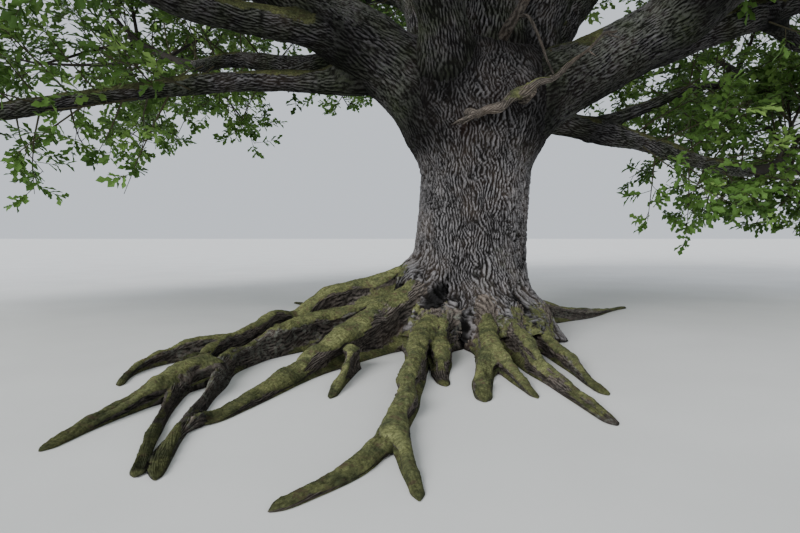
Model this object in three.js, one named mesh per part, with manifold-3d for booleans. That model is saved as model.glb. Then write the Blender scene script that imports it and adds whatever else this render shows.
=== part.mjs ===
// A spreading old oak on level ground: a fluted trunk, roots that run out over the ground,
// long boughs that leave one fork, and a mass of leafy twigs at the end of every bough.
import * as THREE from "three";
import Module from "manifold-3d";

const wasm = await Module();
wasm.setup();

// Lengths are millimetres, angles are degrees, and the ground is the plane z = 0.
const CLEARANCE = 0.4;

// The trunk: a leaning column with a waist, a flare at the ground and a swelling at the fork.
const TRUNK = {
  lean: 0.055, waist: 750, flare: 550, flareDrop: 450,
  swell: 330, swellLow: 2100, swellHigh: 3400, domeLow: 2900, top: 4000,
  lobe: 150, lobeDrop: 480, lobeSpread: 15,
  cleftHeading: 254, cleftDepth: 170, cleftSpread: 8, cleftTop: 760, sides: 26,
};
const TRUNK_LEVELS = [0, 160, 340, 560, 850, 1300, 1900, 2350, 2750, 3100, 3400, 3650, 3850];

// Roots: heading turns by turn and swing along the length, and the crest falls to the ground.
const ROOTS = [
  { name: "root_left_ridge", foot: [-800, -350], heading: -182, turn: 201, swing: -85, length: 5860,
    thick: 170, thin: 55, crest: 980, fall: 2.5, crook: 4, seed: 41 },
  { name: "root_left_main", foot: [-700, -700], heading: -135, turn: 67, swing: -42, length: 3770,
    thick: 220, thin: 80, crest: 820, fall: 2.4, crook: 3, seed: 45,
    spur: { foot: [-1370, -2350], heading: -95, turn: 0, swing: 0, length: 1050,
      thick: 90, thin: 50, crest: 240, fall: 1.2, crook: 2, seed: 51 } },
  { name: "root_front_long", foot: [-500, -800], heading: -115, turn: 113, swing: -135, length: 4800,
    thick: 170, thin: 65, crest: 420, fall: 1.6, crook: 4, seed: 46,
    spur: { foot: [-900, -4300], heading: -84, turn: 0, swing: 0, length: 1000,
      thick: 85, thin: 45, crest: 170, fall: 1.2, crook: 2, seed: 52 } },
  { name: "root_front_short", foot: [-300, -850], heading: -101, turn: 8, swing: 8, length: 2170,
    thick: 150, thin: 70, crest: 420, fall: 1.6, crook: 4, seed: 47 },
  { name: "root_front_right", foot: [200, -900], heading: -100, turn: 0, swing: 1, length: 2640,
    thick: 160, thin: 70, crest: 520, fall: 1.8, crook: 4, seed: 48,
    spur: { foot: [60, -1900], heading: -84, turn: 0, swing: 0, length: 1500,
      thick: 95, thin: 50, crest: 260, fall: 1.2, crook: 2, seed: 53 } },
  { name: "root_right_main", foot: [450, -800], heading: -90, turn: -1, swing: 12, length: 3310,
    thick: 170, thin: 60, crest: 500, fall: 1.8, crook: 4, seed: 49 },
  { name: "root_right_back", foot: [850, -500], heading: -88, turn: -17, swing: 21, length: 2800,
    thick: 150, thin: 60, crest: 450, fall: 1.8, crook: 4, seed: 50 },
  { name: "root_back_right", foot: [750, 450], heading: 34, turn: 30, swing: -14, length: 3600,
    thick: 170, thin: 60, crest: 520, fall: 2.2, crook: 5, seed: 54 },
  { name: "root_back", foot: [250, 850], heading: 78, turn: -20, swing: 34, length: 4500,
    thick: 190, thin: 60, crest: 640, fall: 2.0, crook: 5, seed: 55 },
  { name: "root_back_left", foot: [-550, 650], heading: 122, turn: 24, swing: -20, length: 4000,
    thick: 180, thin: 60, crest: 560, fall: 2.2, crook: 5, seed: 56 },
  { name: "root_left_twin", foot: [-800, -500], heading: -166, turn: 149, swing: -47, length: 5460,
    thick: 170, thin: 55, crest: 620, fall: 1.9, crook: 4, seed: 42 },
  { name: "root_left_far", foot: [-2450, -1250], heading: -164, turn: 86, swing: 8, length: 2200,
    thick: 100, thin: 45, crest: 300, fall: 1.2, crook: 5, seed: 43 },
  { name: "root_left_long", foot: [-2700, -2900], heading: -108, turn: 9, swing: 1, length: 1750,
    thick: 120, thin: 55, crest: 240, fall: 1.2, crook: 3, seed: 44 },
];

// Boughs: a foot on the trunk or a share of the way along another bough, a heading and a lift
// that change along the length, and radii at the two ends. Each carries one mass of leaves,
// given by its middle and its half sizes.
const BOUGHS = [
  { name: "bough_left_rising", foot: [-300, -50, 2950], heading: -171, turn: -4, swing: -4,
    lift: 52, bend: -12, curl: -6, wave: -17, length: 7490, thick: 500, thin: 170, crook: 3, seed: 11,
    mass: "leaves_left_high", middle: [-7200, -600, 9700], reach: [3000, 3000, 2500] },
  { name: "bough_left_low", from: "bough_left_rising", at: 0.1, heading: 175, turn: 4, swing: -1,
    lift: -19, bend: 21, curl: 15, wave: 14, length: 6820, thick: 150, thin: 100, crook: 4, seed: 12,
    mass: "leaves_left_low", middle: [-9300, 400, 3900], reach: [2500, 3000, 2000] },
  { name: "bough_left_arching", from: "bough_left_rising", at: 0.13, heading: -157, turn: 14, swing: 1,
    lift: 22, bend: -11, curl: -4, wave: -13, length: 6660, thick: 240, thin: 110, crook: 3, seed: 13,
    mass: "leaves_left_middle", middle: [-8000, -4200, 6200], reach: [2600, 2800, 2100] },
  { name: "bough_left_back", from: "bough_left_rising", at: 0.13, heading: 154, turn: -16, swing: -14,
    lift: 12, bend: -3, curl: -1, wave: -2, length: 4840, thick: 200, thin: 100, crook: 6, seed: 14,
    mass: "leaves_left_back", middle: [-6200, 4400, 5000], reach: [3000, 2800, 2100] },
  { name: "bough_right_rising", foot: [400, -100, 2800], heading: -6, turn: -10, swing: 3,
    lift: 36, bend: 8, curl: 4, wave: -9, length: 7600, thick: 470, thin: 160, crook: 3, seed: 15,
    mass: "leaves_right_high", middle: [7300, -1000, 9300], reach: [3000, 3000, 2500] },
  { name: "bough_right_outer", from: "bough_right_rising", at: 0.15, heading: 20, turn: -51, swing: -10,
    lift: 14, bend: 11, curl: 0, wave: 5, length: 6540, thick: 270, thin: 120, crook: 3, seed: 16,
    mass: "leaves_right_middle", middle: [9000, -1800, 5900], reach: [2600, 3000, 2100] },
  { name: "bough_right_drooping", from: "bough_right_outer", at: 0.45, heading: 50, turn: -31, swing: -2,
    lift: -17, bend: 36, curl: 21, wave: 8, length: 3910, thick: 130, thin: 90, crook: 5, seed: 17,
    mass: "leaves_right_far", middle: [8900, 2900, 5600], reach: [2500, 2800, 2100] },
  { name: "bough_right_low", foot: [450, 450, 3250], heading: 13, turn: 19, swing: -1,
    lift: -13, bend: 9, curl: 0, wave: 0, length: 5280, thick: 220, thin: 90, crook: 3, seed: 18,
    mass: "leaves_right_low", middle: [6600, 3500, 2900], reach: [2300, 2200, 1500] },
  { name: "bough_right_fork", from: "bough_right_low", at: 0.3, heading: 32, turn: 3, swing: 1,
    lift: 18, bend: -1, curl: -1, wave: 5, length: 4700, thick: 110, thin: 60, crook: 5, seed: 19,
    mass: "leaves_right_back", middle: [6300, 6200, 5300], reach: [2600, 2500, 2000] },
  { name: "bough_front_upright", foot: [-150, -300, 3100], heading: -110, turn: -14, swing: -6,
    lift: 50, bend: 19, curl: 5, wave: 9, length: 6990, thick: 330, thin: 140, crook: 3, seed: 20,
    mass: "leaves_front_high", middle: [-2600, -4200, 11200], reach: [2900, 2900, 2400] },
  { name: "leader", foot: [250, 20, 3000], heading: 44, turn: 1, swing: 1,
    lift: 85, bend: 13, curl: -7, wave: 0, length: 9910, thick: 590, thin: 150, crook: 3, seed: 21,
    mass: "leaves_top", middle: [100, 600, 15400], reach: [3300, 3300, 2500] },
  { name: "bough_centre_right", foot: [450, 50, 3000], heading: 3, turn: -11, swing: -20,
    lift: 67, bend: 18, curl: -15, wave: -7, length: 8280, thick: 360, thin: 140, crook: 4, seed: 22,
    mass: "leaves_top_right", middle: [3600, -400, 13000], reach: [2800, 2800, 2300] },
  { name: "bough_back_right", foot: [500, 350, 3000], heading: 35, turn: 19, swing: 6,
    lift: 48, bend: -5, curl: 12, wave: -3, length: 6910, thick: 300, thin: 130, crook: 4, seed: 23,
    mass: "leaves_back_right_high", middle: [4400, 4600, 10100], reach: [3000, 2900, 2500] },
  { name: "bough_back_left", foot: [-150, 400, 2900], heading: 104, turn: 4, swing: 4,
    lift: 38, bend: -5, curl: -6, wave: 17, length: 7350, thick: 380, thin: 130, crook: 5, seed: 24,
    mass: "leaves_back_left", middle: [-2600, 8000, 7000], reach: [2900, 2700, 2200] },
  { name: "bough_back", foot: [250, 450, 2900], heading: 78, turn: 5, swing: 6,
    lift: 31, bend: -6, curl: -5, wave: 13, length: 7610, thick: 330, thin: 130, crook: 5, seed: 25,
    mass: "leaves_back", middle: [1400, 9000, 6600], reach: [2600, 2500, 2100] },
  { name: "leader_back_left", from: "leader", at: 0.3, heading: 122, turn: 4, swing: 2,
    lift: 39, bend: -3, curl: -3, wave: 6, length: 5290, thick: 240, thin: 120, crook: 5, seed: 26,
    mass: "leaves_back_left_high", middle: [-2800, 5200, 10600], reach: [3000, 2900, 2500] },
  { name: "leader_left", from: "leader", at: 0.42, heading: -176, turn: -2, swing: -1,
    lift: 60, bend: -3, curl: -2, wave: -1, length: 5020, thick: 220, thin: 120, crook: 5, seed: 27,
    mass: "leaves_top_left", middle: [-3300, 300, 13000], reach: [2800, 2800, 2400] },
  { name: "bough_front_right", from: "bough_front_upright", at: 0.3, heading: -41, turn: -2, swing: -1,
    lift: 48, bend: 1, curl: 1, wave: 0, length: 5840, thick: 220, thin: 120, crook: 5, seed: 28,
    mass: "leaves_front_right_high", middle: [3000, -4600, 11000], reach: [2900, 2800, 2400] },
  { name: "bough_front", from: "bough_front_upright", at: 0.22, heading: -84, turn: -2, swing: -1,
    lift: 30, bend: -3, curl: -3, wave: 8, length: 6100, thick: 200, thin: 110, crook: 5, seed: 29,
    mass: "leaves_front", middle: [100, -8400, 8300], reach: [2700, 2500, 2100] },
  { name: "bough_left_front", from: "bough_left_rising", at: 0.36, heading: -118, turn: 5, swing: 6,
    lift: 23, bend: -2, curl: -2, wave: 2, length: 5740, thick: 220, thin: 110, crook: 5, seed: 30,
    mass: "leaves_left_front", middle: [-5000, -7000, 7600], reach: [2700, 2600, 2100] },
  { name: "bough_right_front", from: "bough_right_rising", at: 0.36, heading: -64, turn: 0, swing: -1,
    lift: 30, bend: -3, curl: -3, wave: 7, length: 5640, thick: 220, thin: 110, crook: 5, seed: 31,
    mass: "leaves_right_front", middle: [5400, -6400, 7400], reach: [2800, 2600, 2200] },
  { name: "bough_left_upper", from: "bough_left_rising", at: 0.46, heading: 130, turn: -1, swing: -1,
    lift: 36, bend: 0, curl: 0, wave: 0, length: 5360, thick: 200, thin: 110, crook: 5, seed: 32,
    mass: "leaves_left_back_high", middle: [-6600, 4400, 9100], reach: [2800, 2800, 2300] },
];
const BOUGH_RINGS = 9;
const ROOT_RINGS = 8;

// A dead limb with a broken end lies across the front of the fork and is held by a knot.
const DEAD = {
  start: [-100, -960, 2740], middle: [630, -1120, 3030], end: [1540, -1400, 3640],
  startRadius: 60, middleRadius: 70, endRadius: 28, knotRadius: 120, knotHeart: [560, -300, 3000],
};

// The growth of a mass: a stem, twigs set round it by the golden angle, and leaf sprays on them.
const GROWTH = {
  stemThin: 45, stemRings: 3, twigs: 9, golden: 137.5,
  twigThick: 46, twigThin: 28, spray: 1650, sprayWide: 0.68, sprayThick: 0.05, margin: 130, tilt: 2.4,
};

const COLOURS = { trunk: 0x6a6258, root: 0x5f6136, bough: 0x4f483f, dead: 0x8a8071 };
const GREENS = [0x3f5f26, 0x48692b, 0x385522, 0x517331, 0x446328];

const rad = (degrees) => degrees * Math.PI / 180;
const mix = (a, b, t) => a + (b - a) * t;
const smooth = (t) => {
  const s = Math.min(1, Math.max(0, t));
  return s * s * (3 - 2 * s);
};
const add = (a, b, k = 1) => a.map((v, i) => v + b[i] * k);
const sub = (a, b) => a.map((v, i) => v - b[i]);
const size = (a) => Math.hypot(...a);
const unit = (a) => a.map((v) => v / (size(a) || 1));
const cross = (a, b) => [a[1] * b[2] - a[2] * b[1], a[2] * b[0] - a[0] * b[2], a[0] * b[1] - a[1] * b[0]];
const dot = (a, b) => a[0] * b[0] + a[1] * b[1] + a[2] * b[2];

// A seeded row of numbers between 0 and 1.
function seeded(seed) {
  let state = seed >>> 0;
  return () => {
    state = (state + 0x6D2B79F5) >>> 0;
    let t = state;
    t = Math.imul(t ^ (t >>> 15), t | 1);
    t ^= t + Math.imul(t ^ (t >>> 7), t | 61);
    return ((t ^ (t >>> 14)) >>> 0) / 4294967296;
  };
}

// The axis and the radii of a bough, stepped along its length.
function boughPath(s, foot) {
  const draw = seeded(s.seed);
  const first = draw() * 2 * Math.PI;
  const second = draw() * 2 * Math.PI;
  const points = [foot];
  const radii = [];
  const step = s.length / BOUGH_RINGS;
  for (let k = 1; k <= BOUGH_RINGS; k++) {
    const t = (k - 0.5) / BOUGH_RINGS;
    const a = rad(s.heading + s.turn * t + s.swing * t * t + s.crook * Math.sin(2 * Math.PI * 1.4 * t + first));
    const e = rad(s.lift + s.bend * t + s.curl * t * t + s.wave * Math.sin(2 * Math.PI * t)
      + 0.8 * s.crook * Math.sin(2 * Math.PI * 1.8 * t + second));
    const way = [Math.cos(e) * Math.cos(a), Math.cos(e) * Math.sin(a), Math.sin(e)];
    points.push(add(points[k - 1], way, step));
  }
  for (let k = 0; k <= BOUGH_RINGS; k++) {
    const t = k / BOUGH_RINGS;
    const swell = 1 + 0.45 * Math.exp(-t * s.length / (1.1 * s.thick));
    radii.push(mix(s.thick, s.thin, t ** 0.85) * swell);
  }
  return { points, radii };
}

// The plan line of a root with its crest height and its half width.
function rootPath(s) {
  const draw = seeded(s.seed);
  const first = draw() * 2 * Math.PI;
  draw();
  const rings = [];
  let [x, y] = s.foot;
  for (let k = 0; k <= ROOT_RINGS; k++) {
    const t = k / ROOT_RINGS;
    const m = (k + 0.5) / ROOT_RINGS;
    const a = rad(s.heading + s.turn * m + s.swing * m * m + s.crook * Math.sin(2 * Math.PI * 1.5 * m + first));
    const half = mix(s.thick, s.thin, t ** 0.8);
    const tip = s.thin * 1.1;
    const crest = Math.max(tip + (s.crest - tip) * (1 - t) ** s.fall, half * 1.15);
    rings.push({ x, y, a, half, crest });
    x += s.length / ROOT_RINGS * Math.cos(a);
    y += s.length / ROOT_RINGS * Math.sin(a);
  }
  return rings;
}

// A closed solid from rings of points that all have the same count, capped at both ends.
function loft(rings) {
  const sides = rings[0].length;
  const points = rings.flat();
  const faces = [];
  for (let k = 0; k + 1 < rings.length; k++) {
    for (let i = 0; i < sides; i++) {
      const a = k * sides + i;
      const b = k * sides + (i + 1) % sides;
      faces.push([a, b, b + sides], [a, b + sides, a + sides]);
    }
  }
  for (const [k, flip] of [[0, true], [rings.length - 1, false]]) {
    const ring = rings[k];
    const centre = ring.reduce((sum, p) => add(sum, p), [0, 0, 0]).map((v) => v / sides);
    const c = points.push(centre) - 1;
    for (let i = 0; i < sides; i++) {
      const a = k * sides + i;
      const b = k * sides + (i + 1) % sides;
      faces.push(flip ? [c, b, a] : [c, a, b]);
    }
  }
  return solidOf(points, faces);
}

function solidOf(points, faces) {
  const mesh = new wasm.Mesh({
    numProp: 3,
    vertProperties: new Float32Array(points.flat()),
    triVerts: new Uint32Array(faces.flat()),
  });
  return new wasm.Manifold(mesh);
}

// Rings set square to a path, carried along it without twist. The first ring can face another way.
function tube(points, radii, sides, extra = 0, firstWay = null) {
  const last = points.length - 1;
  const ways = points.map((p, k) => unit(sub(points[Math.min(k + 1, last)], points[Math.max(k - 1, 0)])));
  ways[0] = firstWay ?? ways[0];
  let side = unit(cross(ways[0], Math.abs(ways[0][2]) > 0.9 ? [1, 0, 0] : [0, 0, 1]));
  const rings = points.map((p, k) => {
    side = unit(add(side, ways[k], -dot(side, ways[k])));
    const up = cross(ways[k], side);
    const centre = add(p, ways[k], k === 0 ? -extra : k === last ? extra : 0);
    const ring = [];
    for (let i = 0; i < sides; i++) {
      const a = 2 * Math.PI * i / sides;
      const r = radii[k] + extra * 1.1;
      ring.push(add(add(centre, side, r * Math.cos(a)), up, r * Math.sin(a)));
    }
    return ring;
  });
  return loft(rings);
}

function trunkSolid(extra = 0) {
  const rootHeadings = ROOTS.filter((r) => Math.hypot(...r.foot) < 1500)
    .map((r) => Math.atan2(r.foot[1], r.foot[0]));
  const bump = (angle, at, spread) => {
    const d = Math.atan2(Math.sin(angle - at), Math.cos(angle - at)) / rad(spread);
    return Math.exp(-d * d);
  };
  const rings = [];
  for (const level of TRUNK_LEVELS) {
    const ends = level === 0 ? -1 : level === TRUNK_LEVELS.at(-1) ? 1 : 0;
    const z = level + ends * extra;
    const ring = [];
    for (let i = 0; i < TRUNK.sides; i++) {
      const angle = 2 * Math.PI * (i + 0.5) / TRUNK.sides;
      let r = TRUNK.waist + TRUNK.flare * Math.exp(-level / TRUNK.flareDrop);
      r += TRUNK.swell * smooth((level - TRUNK.swellLow) / (TRUNK.swellHigh - TRUNK.swellLow));
      const lobes = Math.max(...rootHeadings.map((at) => bump(angle, at, TRUNK.lobeSpread)));
      r += TRUNK.lobe * (2 * lobes - 1) * Math.exp(-level / TRUNK.lobeDrop);
      const open = smooth(1.3 - level / TRUNK.cleftTop);
      r -= TRUNK.cleftDepth * open * bump(angle, rad(TRUNK.cleftHeading), TRUNK.cleftSpread);
      const dome = Math.max(0, (level - TRUNK.domeLow) / (TRUNK.top - TRUNK.domeLow));
      r = r * Math.sqrt(1 - dome * dome) + extra * (ends === 0 ? 1.05 : 2.6);
      ring.push([TRUNK.lean * level + r * Math.cos(angle), r * Math.sin(angle), z]);
    }
    rings.push(ring);
  }
  return loft(rings);
}

// A root is wide and flat at the ground and rounded along its crest.
function rootSolid(s, extra = 0) {
  const rings = rootPath(s).map((r, k) => {
    const base = r.half * 0.9 + r.crest * 0.22 + extra * 1.2;
    const half = r.half + r.crest * 0.06 + extra * 1.2;
    const top = r.crest + extra * 1.2;
    const flat = -extra;
    const outline = [[base, flat], [half, top * 0.5], [half * 0.66, top * 0.85], [0, top],
      [-half * 0.66, top * 0.85], [-half, top * 0.5], [-base, flat]];
    const end = k === 0 ? -extra : k === ROOT_RINGS ? extra : 0;
    return outline.map(([w, z]) => [
      r.x + end * Math.cos(r.a) - w * Math.sin(r.a),
      r.y + end * Math.sin(r.a) + w * Math.cos(r.a),
      z,
    ]);
  });
  const body = loft(rings);
  return s.spur ? body.add(rootSolid(s.spur, extra)) : body;
}

// The largest body of a solid, without loose scraps and without sealed hollows.
function oneBody(solid) {
  const bodies = solid.decompose();
  bodies.sort((a, b) => b.volume() - a.volume());
  return bodies[0];
}

const cutters = [];
function cutBy(solid, list) {
  let left = solid;
  for (const other of list) {
    const a = left.boundingBox();
    const b = other.boundingBox();
    if (a.min.every((v, i) => v <= b.max[i]) && b.min.every((v, i) => v <= a.max[i])) {
      left = left.subtract(other);
    }
  }
  return oneBody(left);
}

// Distance from a point to the skin of the boughs, less than nothing inside them.
const skins = [];
function clearance(p) {
  let best = Infinity;
  for (const { points, radii } of skins) {
    for (let k = 0; k + 1 < points.length; k++) {
      const line = sub(points[k + 1], points[k]);
      const t = Math.min(1, Math.max(0, dot(sub(p, points[k]), line) / dot(line, line)));
      const gap = size(sub(p, add(points[k], line, t))) - mix(radii[k], radii[k + 1], t);
      best = Math.min(best, gap);
    }
  }
  return best;
}

// How far out a point stands in a mass: 1 at the skin of its rounded space.
const farness = (p, s) => size(p.map((v, i) => (v - s.middle[i]) / s.reach[i]));

// A point belongs to a mass where no other mass has it nearer to its middle.
function owned(p, s) {
  const own = farness(p, s);
  if (own > 1) {
    return false;
  }
  const room = GROWTH.margin / Math.min(...s.reach);
  return BOUGHS.every((other) => other === s || farness(p, other) > own + room);
}

// A leaf spray: eight faces round a midrib from its root to its tip.
function spray(root, way, normal, length) {
  const side = unit(cross(way, normal));
  const up = cross(side, way);
  const half = length * GROWTH.sprayWide / 2;
  const deep = length * GROWTH.sprayThick / 2;
  const heart = add(root, way, length * 0.45);
  const points = [root, add(root, way, length), add(heart, side, half), add(heart, side, -half),
    add(heart, up, deep), add(heart, up, -deep)];
  const faces = [];
  for (const end of [0, 1]) {
    for (const [a, b] of [[2, 4], [4, 3], [3, 5], [5, 2]]) {
      faces.push(end === 0 ? [end, a, b] : [end, b, a]);
    }
  }
  return { points, solid: () => solidOf(points, faces) };
}

// A three-sided twig that opens at its end into a leaf spray of its own.
function twigWithSpray(foot, way, reach, normal, length) {
  const side = unit(cross(way, normal));
  const up = cross(side, way);
  const at = (along, across, high) => add(add(add(foot, way, along), side, across), up, high);
  const ring = (along, r) => [90, 210, 330].map((a) => at(along, -r * Math.cos(rad(a)), r * Math.sin(rad(a))));
  const half = length * GROWTH.sprayWide / 2;
  const deep = length * GROWTH.sprayThick / 2;
  const heart = reach + length * 0.4;
  const points = [...ring(0, GROWTH.twigThick), ...ring(reach, GROWTH.twigThin),
    at(heart, 0, deep), at(heart, half, 0), at(heart, 0, -deep), at(heart, -half, 0), at(reach + length, 0, 0)];
  const faces = [[0, 2, 1]];
  for (let i = 0; i < 3; i++) {
    const j = (i + 1) % 3;
    faces.push([i, j, j + 3], [i, j + 3, i + 3]);
  }
  faces.push([3, 7, 6], [3, 4, 7], [4, 8, 7], [4, 5, 8], [5, 9, 8], [5, 3, 9], [3, 6, 9]);
  faces.push([6, 7, 10], [7, 8, 10], [8, 9, 10], [9, 6, 10]);
  return { points, solid: () => solidOf(points, faces) };
}

const fits = (points, s, room) => points.every((p) => owned(p, s) && clearance(p) > room);

// One mass: the stem starts clear of the end of its bough and curves up through the space.
function massSolid(s, path) {
  const draw = seeded(s.seed + 1000);
  const last = path.points.length - 1;
  const tip = path.points[last];
  const way = unit(sub(tip, path.points[last - 1]));
  const start = add(tip, way, CLEARANCE);
  const across = sub(s.middle, start);
  const goal = add(s.middle, [across[0] * 0.35, across[1] * 0.35, s.reach[2] * 0.3]);
  const points = [];
  const radii = [];
  for (let k = 0; k <= GROWTH.stemRings; k++) {
    const t = k / GROWTH.stemRings;
    const bent = add(start, way, size(across) * 0.7 * t);
    points.push(bent.map((v, i) => mix(v, goal[i], t * t * (2 - t))));
    radii.push(mix(s.thin, GROWTH.stemThin, t ** 0.8));
  }
  let solid = tube(points, radii, 5, 0, way);
  const sprays = [];
  const alongStem = (t) => {
    const q = t * GROWTH.stemRings;
    const k = Math.min(Math.floor(q), GROWTH.stemRings - 1);
    return [add(points[k], sub(points[k + 1], points[k]), q - k), unit(sub(points[k + 1], points[k]))];
  };
  for (let i = 0; i < GROWTH.twigs; i++) {
    const [foot, ahead] = alongStem(mix(0.2, 0.97, (i + 0.5) / GROWTH.twigs));
    const round = rad(GROWTH.golden * i + 40 * draw());
    const across1 = unit(cross(ahead, [0.3, 0.2, 1]));
    const across2 = cross(ahead, across1);
    const out = add(across1.map((v) => v * Math.cos(round)), across2, Math.sin(round));
    const lean = mix(0.25, 0.75, draw());
    const heading = unit(add(out, ahead, lean));
    let length = 0;
    while (length < 4000 && owned(add(foot, heading, length + 60), s)) {
      length += 60;
    }
    const leaf = Math.min(GROWTH.spray * mix(0.85, 1.1, draw()), length * 0.6);
    const level = unit(add([0, 0, 1], [draw() - 0.5, draw() - 0.5, 0], GROWTH.tilt));
    const hand = i % 2 === 0 ? 1 : -1;
    const swerve = hand * mix(0.9, 1.5, draw());
    const whole = [1, 0.85, 0.7].map((share) => [length * share - leaf * share, leaf * share])
      .find(([reach, size1]) => reach > 350
        && fits([0.3, 0.6, 0.85, 1].map((t) => add(foot, heading, reach * t)), s, 90)
        && fits(twigWithSpray(foot, heading, reach, level, size1).points.slice(3), s, 60));
    if (!whole) {
      continue;
    }
    solid = solid.add(twigWithSpray(foot, heading, whole[0], level, whole[1]).solid());
    const flat = unit(cross(heading, level));
    if (i % 3 === 1) {
      sprays.push([add(foot, heading, whole[0] * 0.6), unit(add(heading, flat, swerve)), level, leaf * 0.85]);
    }
  }
  const [end, onward] = alongStem(1);
  sprays.push([add(end, onward, -60), onward, [0.2, 0.1, 1], GROWTH.spray * 0.8]);
  for (const [root, heading, level, length] of sprays) {
    for (const share of [1, 0.8, 0.6]) {
      const leaf = spray(root, unit(heading), level, length * share);
      if (fits(leaf.points.slice(1), s, 60)) {
        solid = solid.add(leaf.solid());
        break;
      }
    }
  }
  return oneBody(solid);
}

function deadSolid() {
  const points = [DEAD.start, DEAD.middle, DEAD.end];
  const radii = [DEAD.startRadius, DEAD.middleRadius, DEAD.endRadius];
  const knot = tube([DEAD.knotHeart, DEAD.middle], [DEAD.knotRadius, DEAD.middleRadius * 1.3], 8);
  return tube(points, radii, 8).add(knot);
}

function meshOf(name, solid, colour, roughness) {
  const { vertProperties, triVerts, numProp } = solid.getMesh();
  const geometry = new THREE.BufferGeometry();
  const positions = new Float32Array(vertProperties.length / numProp * 3);
  for (let i = 0; i < positions.length / 3; i++) {
    for (let j = 0; j < 3; j++) {
      positions[i * 3 + j] = vertProperties[i * numProp + j];
    }
  }
  geometry.setAttribute("position", new THREE.BufferAttribute(positions, 3));
  geometry.setIndex(new THREE.BufferAttribute(new Uint32Array(triVerts), 1));
  const material = new THREE.MeshStandardMaterial({ color: colour, roughness, metalness: 0 });
  const mesh = new THREE.Mesh(geometry, material);
  mesh.name = name;
  return mesh;
}

function build() {
  const tree = new THREE.Group();
  tree.name = "oak_tree";
  tree.add(meshOf("trunk", oneBody(trunkSolid()), COLOURS.trunk, 0.95));
  cutters.push(trunkSolid(CLEARANCE));
  for (const s of ROOTS) {
    tree.add(meshOf(s.name, cutBy(rootSolid(s), cutters), COLOURS.root, 0.97));
    cutters.push(rootSolid(s, CLEARANCE));
  }
  const paths = {};
  for (const s of BOUGHS) {
    let foot = s.foot;
    if (s.from) {
      const { points } = paths[s.from];
      const q = s.at * BOUGH_RINGS;
      const k = Math.floor(q);
      foot = add(points[k], sub(points[k + 1], points[k]), q - k);
    }
    const path = boughPath(s, foot);
    paths[s.name] = path;
    skins.push(path);
    const sides = s.thick > 320 ? 9 : s.thick > 180 ? 7 : 6;
    tree.add(meshOf(s.name, cutBy(tube(path.points, path.radii, sides), cutters), COLOURS.bough, 0.95));
    cutters.push(tube(path.points, path.radii, sides, CLEARANCE));
  }
  tree.add(meshOf("dead_limb", cutBy(deadSolid(), cutters), COLOURS.dead, 0.9));
  BOUGHS.forEach((s, i) => {
    tree.add(meshOf(s.mass, massSolid(s, paths[s.name]), GREENS[i % GREENS.length], 0.85));
  });
  return tree;
}

export default build();
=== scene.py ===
"""A spreading old oak: barked trunk, mossy roots, long boughs and a leafy crown round a CAD frame."""

import math

import bpy
import numpy as np
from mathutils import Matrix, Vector


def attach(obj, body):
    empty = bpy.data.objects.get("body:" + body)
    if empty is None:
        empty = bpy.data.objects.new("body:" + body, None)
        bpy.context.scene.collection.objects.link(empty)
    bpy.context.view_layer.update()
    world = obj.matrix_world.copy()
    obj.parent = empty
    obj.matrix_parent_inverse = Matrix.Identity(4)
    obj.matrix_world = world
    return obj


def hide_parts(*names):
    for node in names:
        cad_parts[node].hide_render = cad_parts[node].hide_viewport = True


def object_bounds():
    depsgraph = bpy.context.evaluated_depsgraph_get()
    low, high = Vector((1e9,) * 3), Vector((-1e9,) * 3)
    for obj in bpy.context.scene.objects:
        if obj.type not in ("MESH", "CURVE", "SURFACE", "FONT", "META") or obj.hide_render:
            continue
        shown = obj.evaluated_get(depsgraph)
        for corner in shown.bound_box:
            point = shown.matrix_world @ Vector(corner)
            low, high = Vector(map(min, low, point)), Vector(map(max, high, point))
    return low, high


bl_info = {
    "name": "Spreading oak",
    "version": (1, 0, 0),
    "blender": (4, 5, 0),
    "location": "3D View > Sidebar > Oak",
    "description": "Bark, moss, twigs and leaves for a spreading oak, piece by piece",
    "category": "Add Mesh",
}

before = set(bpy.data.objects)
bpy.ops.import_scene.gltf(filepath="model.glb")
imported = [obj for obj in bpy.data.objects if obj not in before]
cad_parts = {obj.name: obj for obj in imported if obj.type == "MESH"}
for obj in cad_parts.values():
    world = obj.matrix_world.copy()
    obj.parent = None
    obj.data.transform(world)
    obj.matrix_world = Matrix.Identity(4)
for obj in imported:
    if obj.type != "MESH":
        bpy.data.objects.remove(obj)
CAD_BOX = [list(corner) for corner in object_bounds()]
LOWEST, HIGHEST = np.array(CAD_BOX)
FULL_TURN = 2 * math.pi

# Dimensions in metres and degrees. The trunk, the boughs, the masses of leaves and the dead limb have
# those of their solids. The roots too, apart from what ROOT_EXTRAS says and a slimmer second spur.

TRUNK = dict(
    lean=0.055, waist=0.75, flare=0.55, flare_drop=0.45, swell=0.33, swell_low=2.1, swell_high=3.4,
    dome_low=2.9, top=4.0, lobe=0.15, lobe_drop=0.48, lobe_spread=15,
    cleft_heading=254, cleft_depth=0.17, cleft_spread=8, cleft_top=0.76,
)

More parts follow.
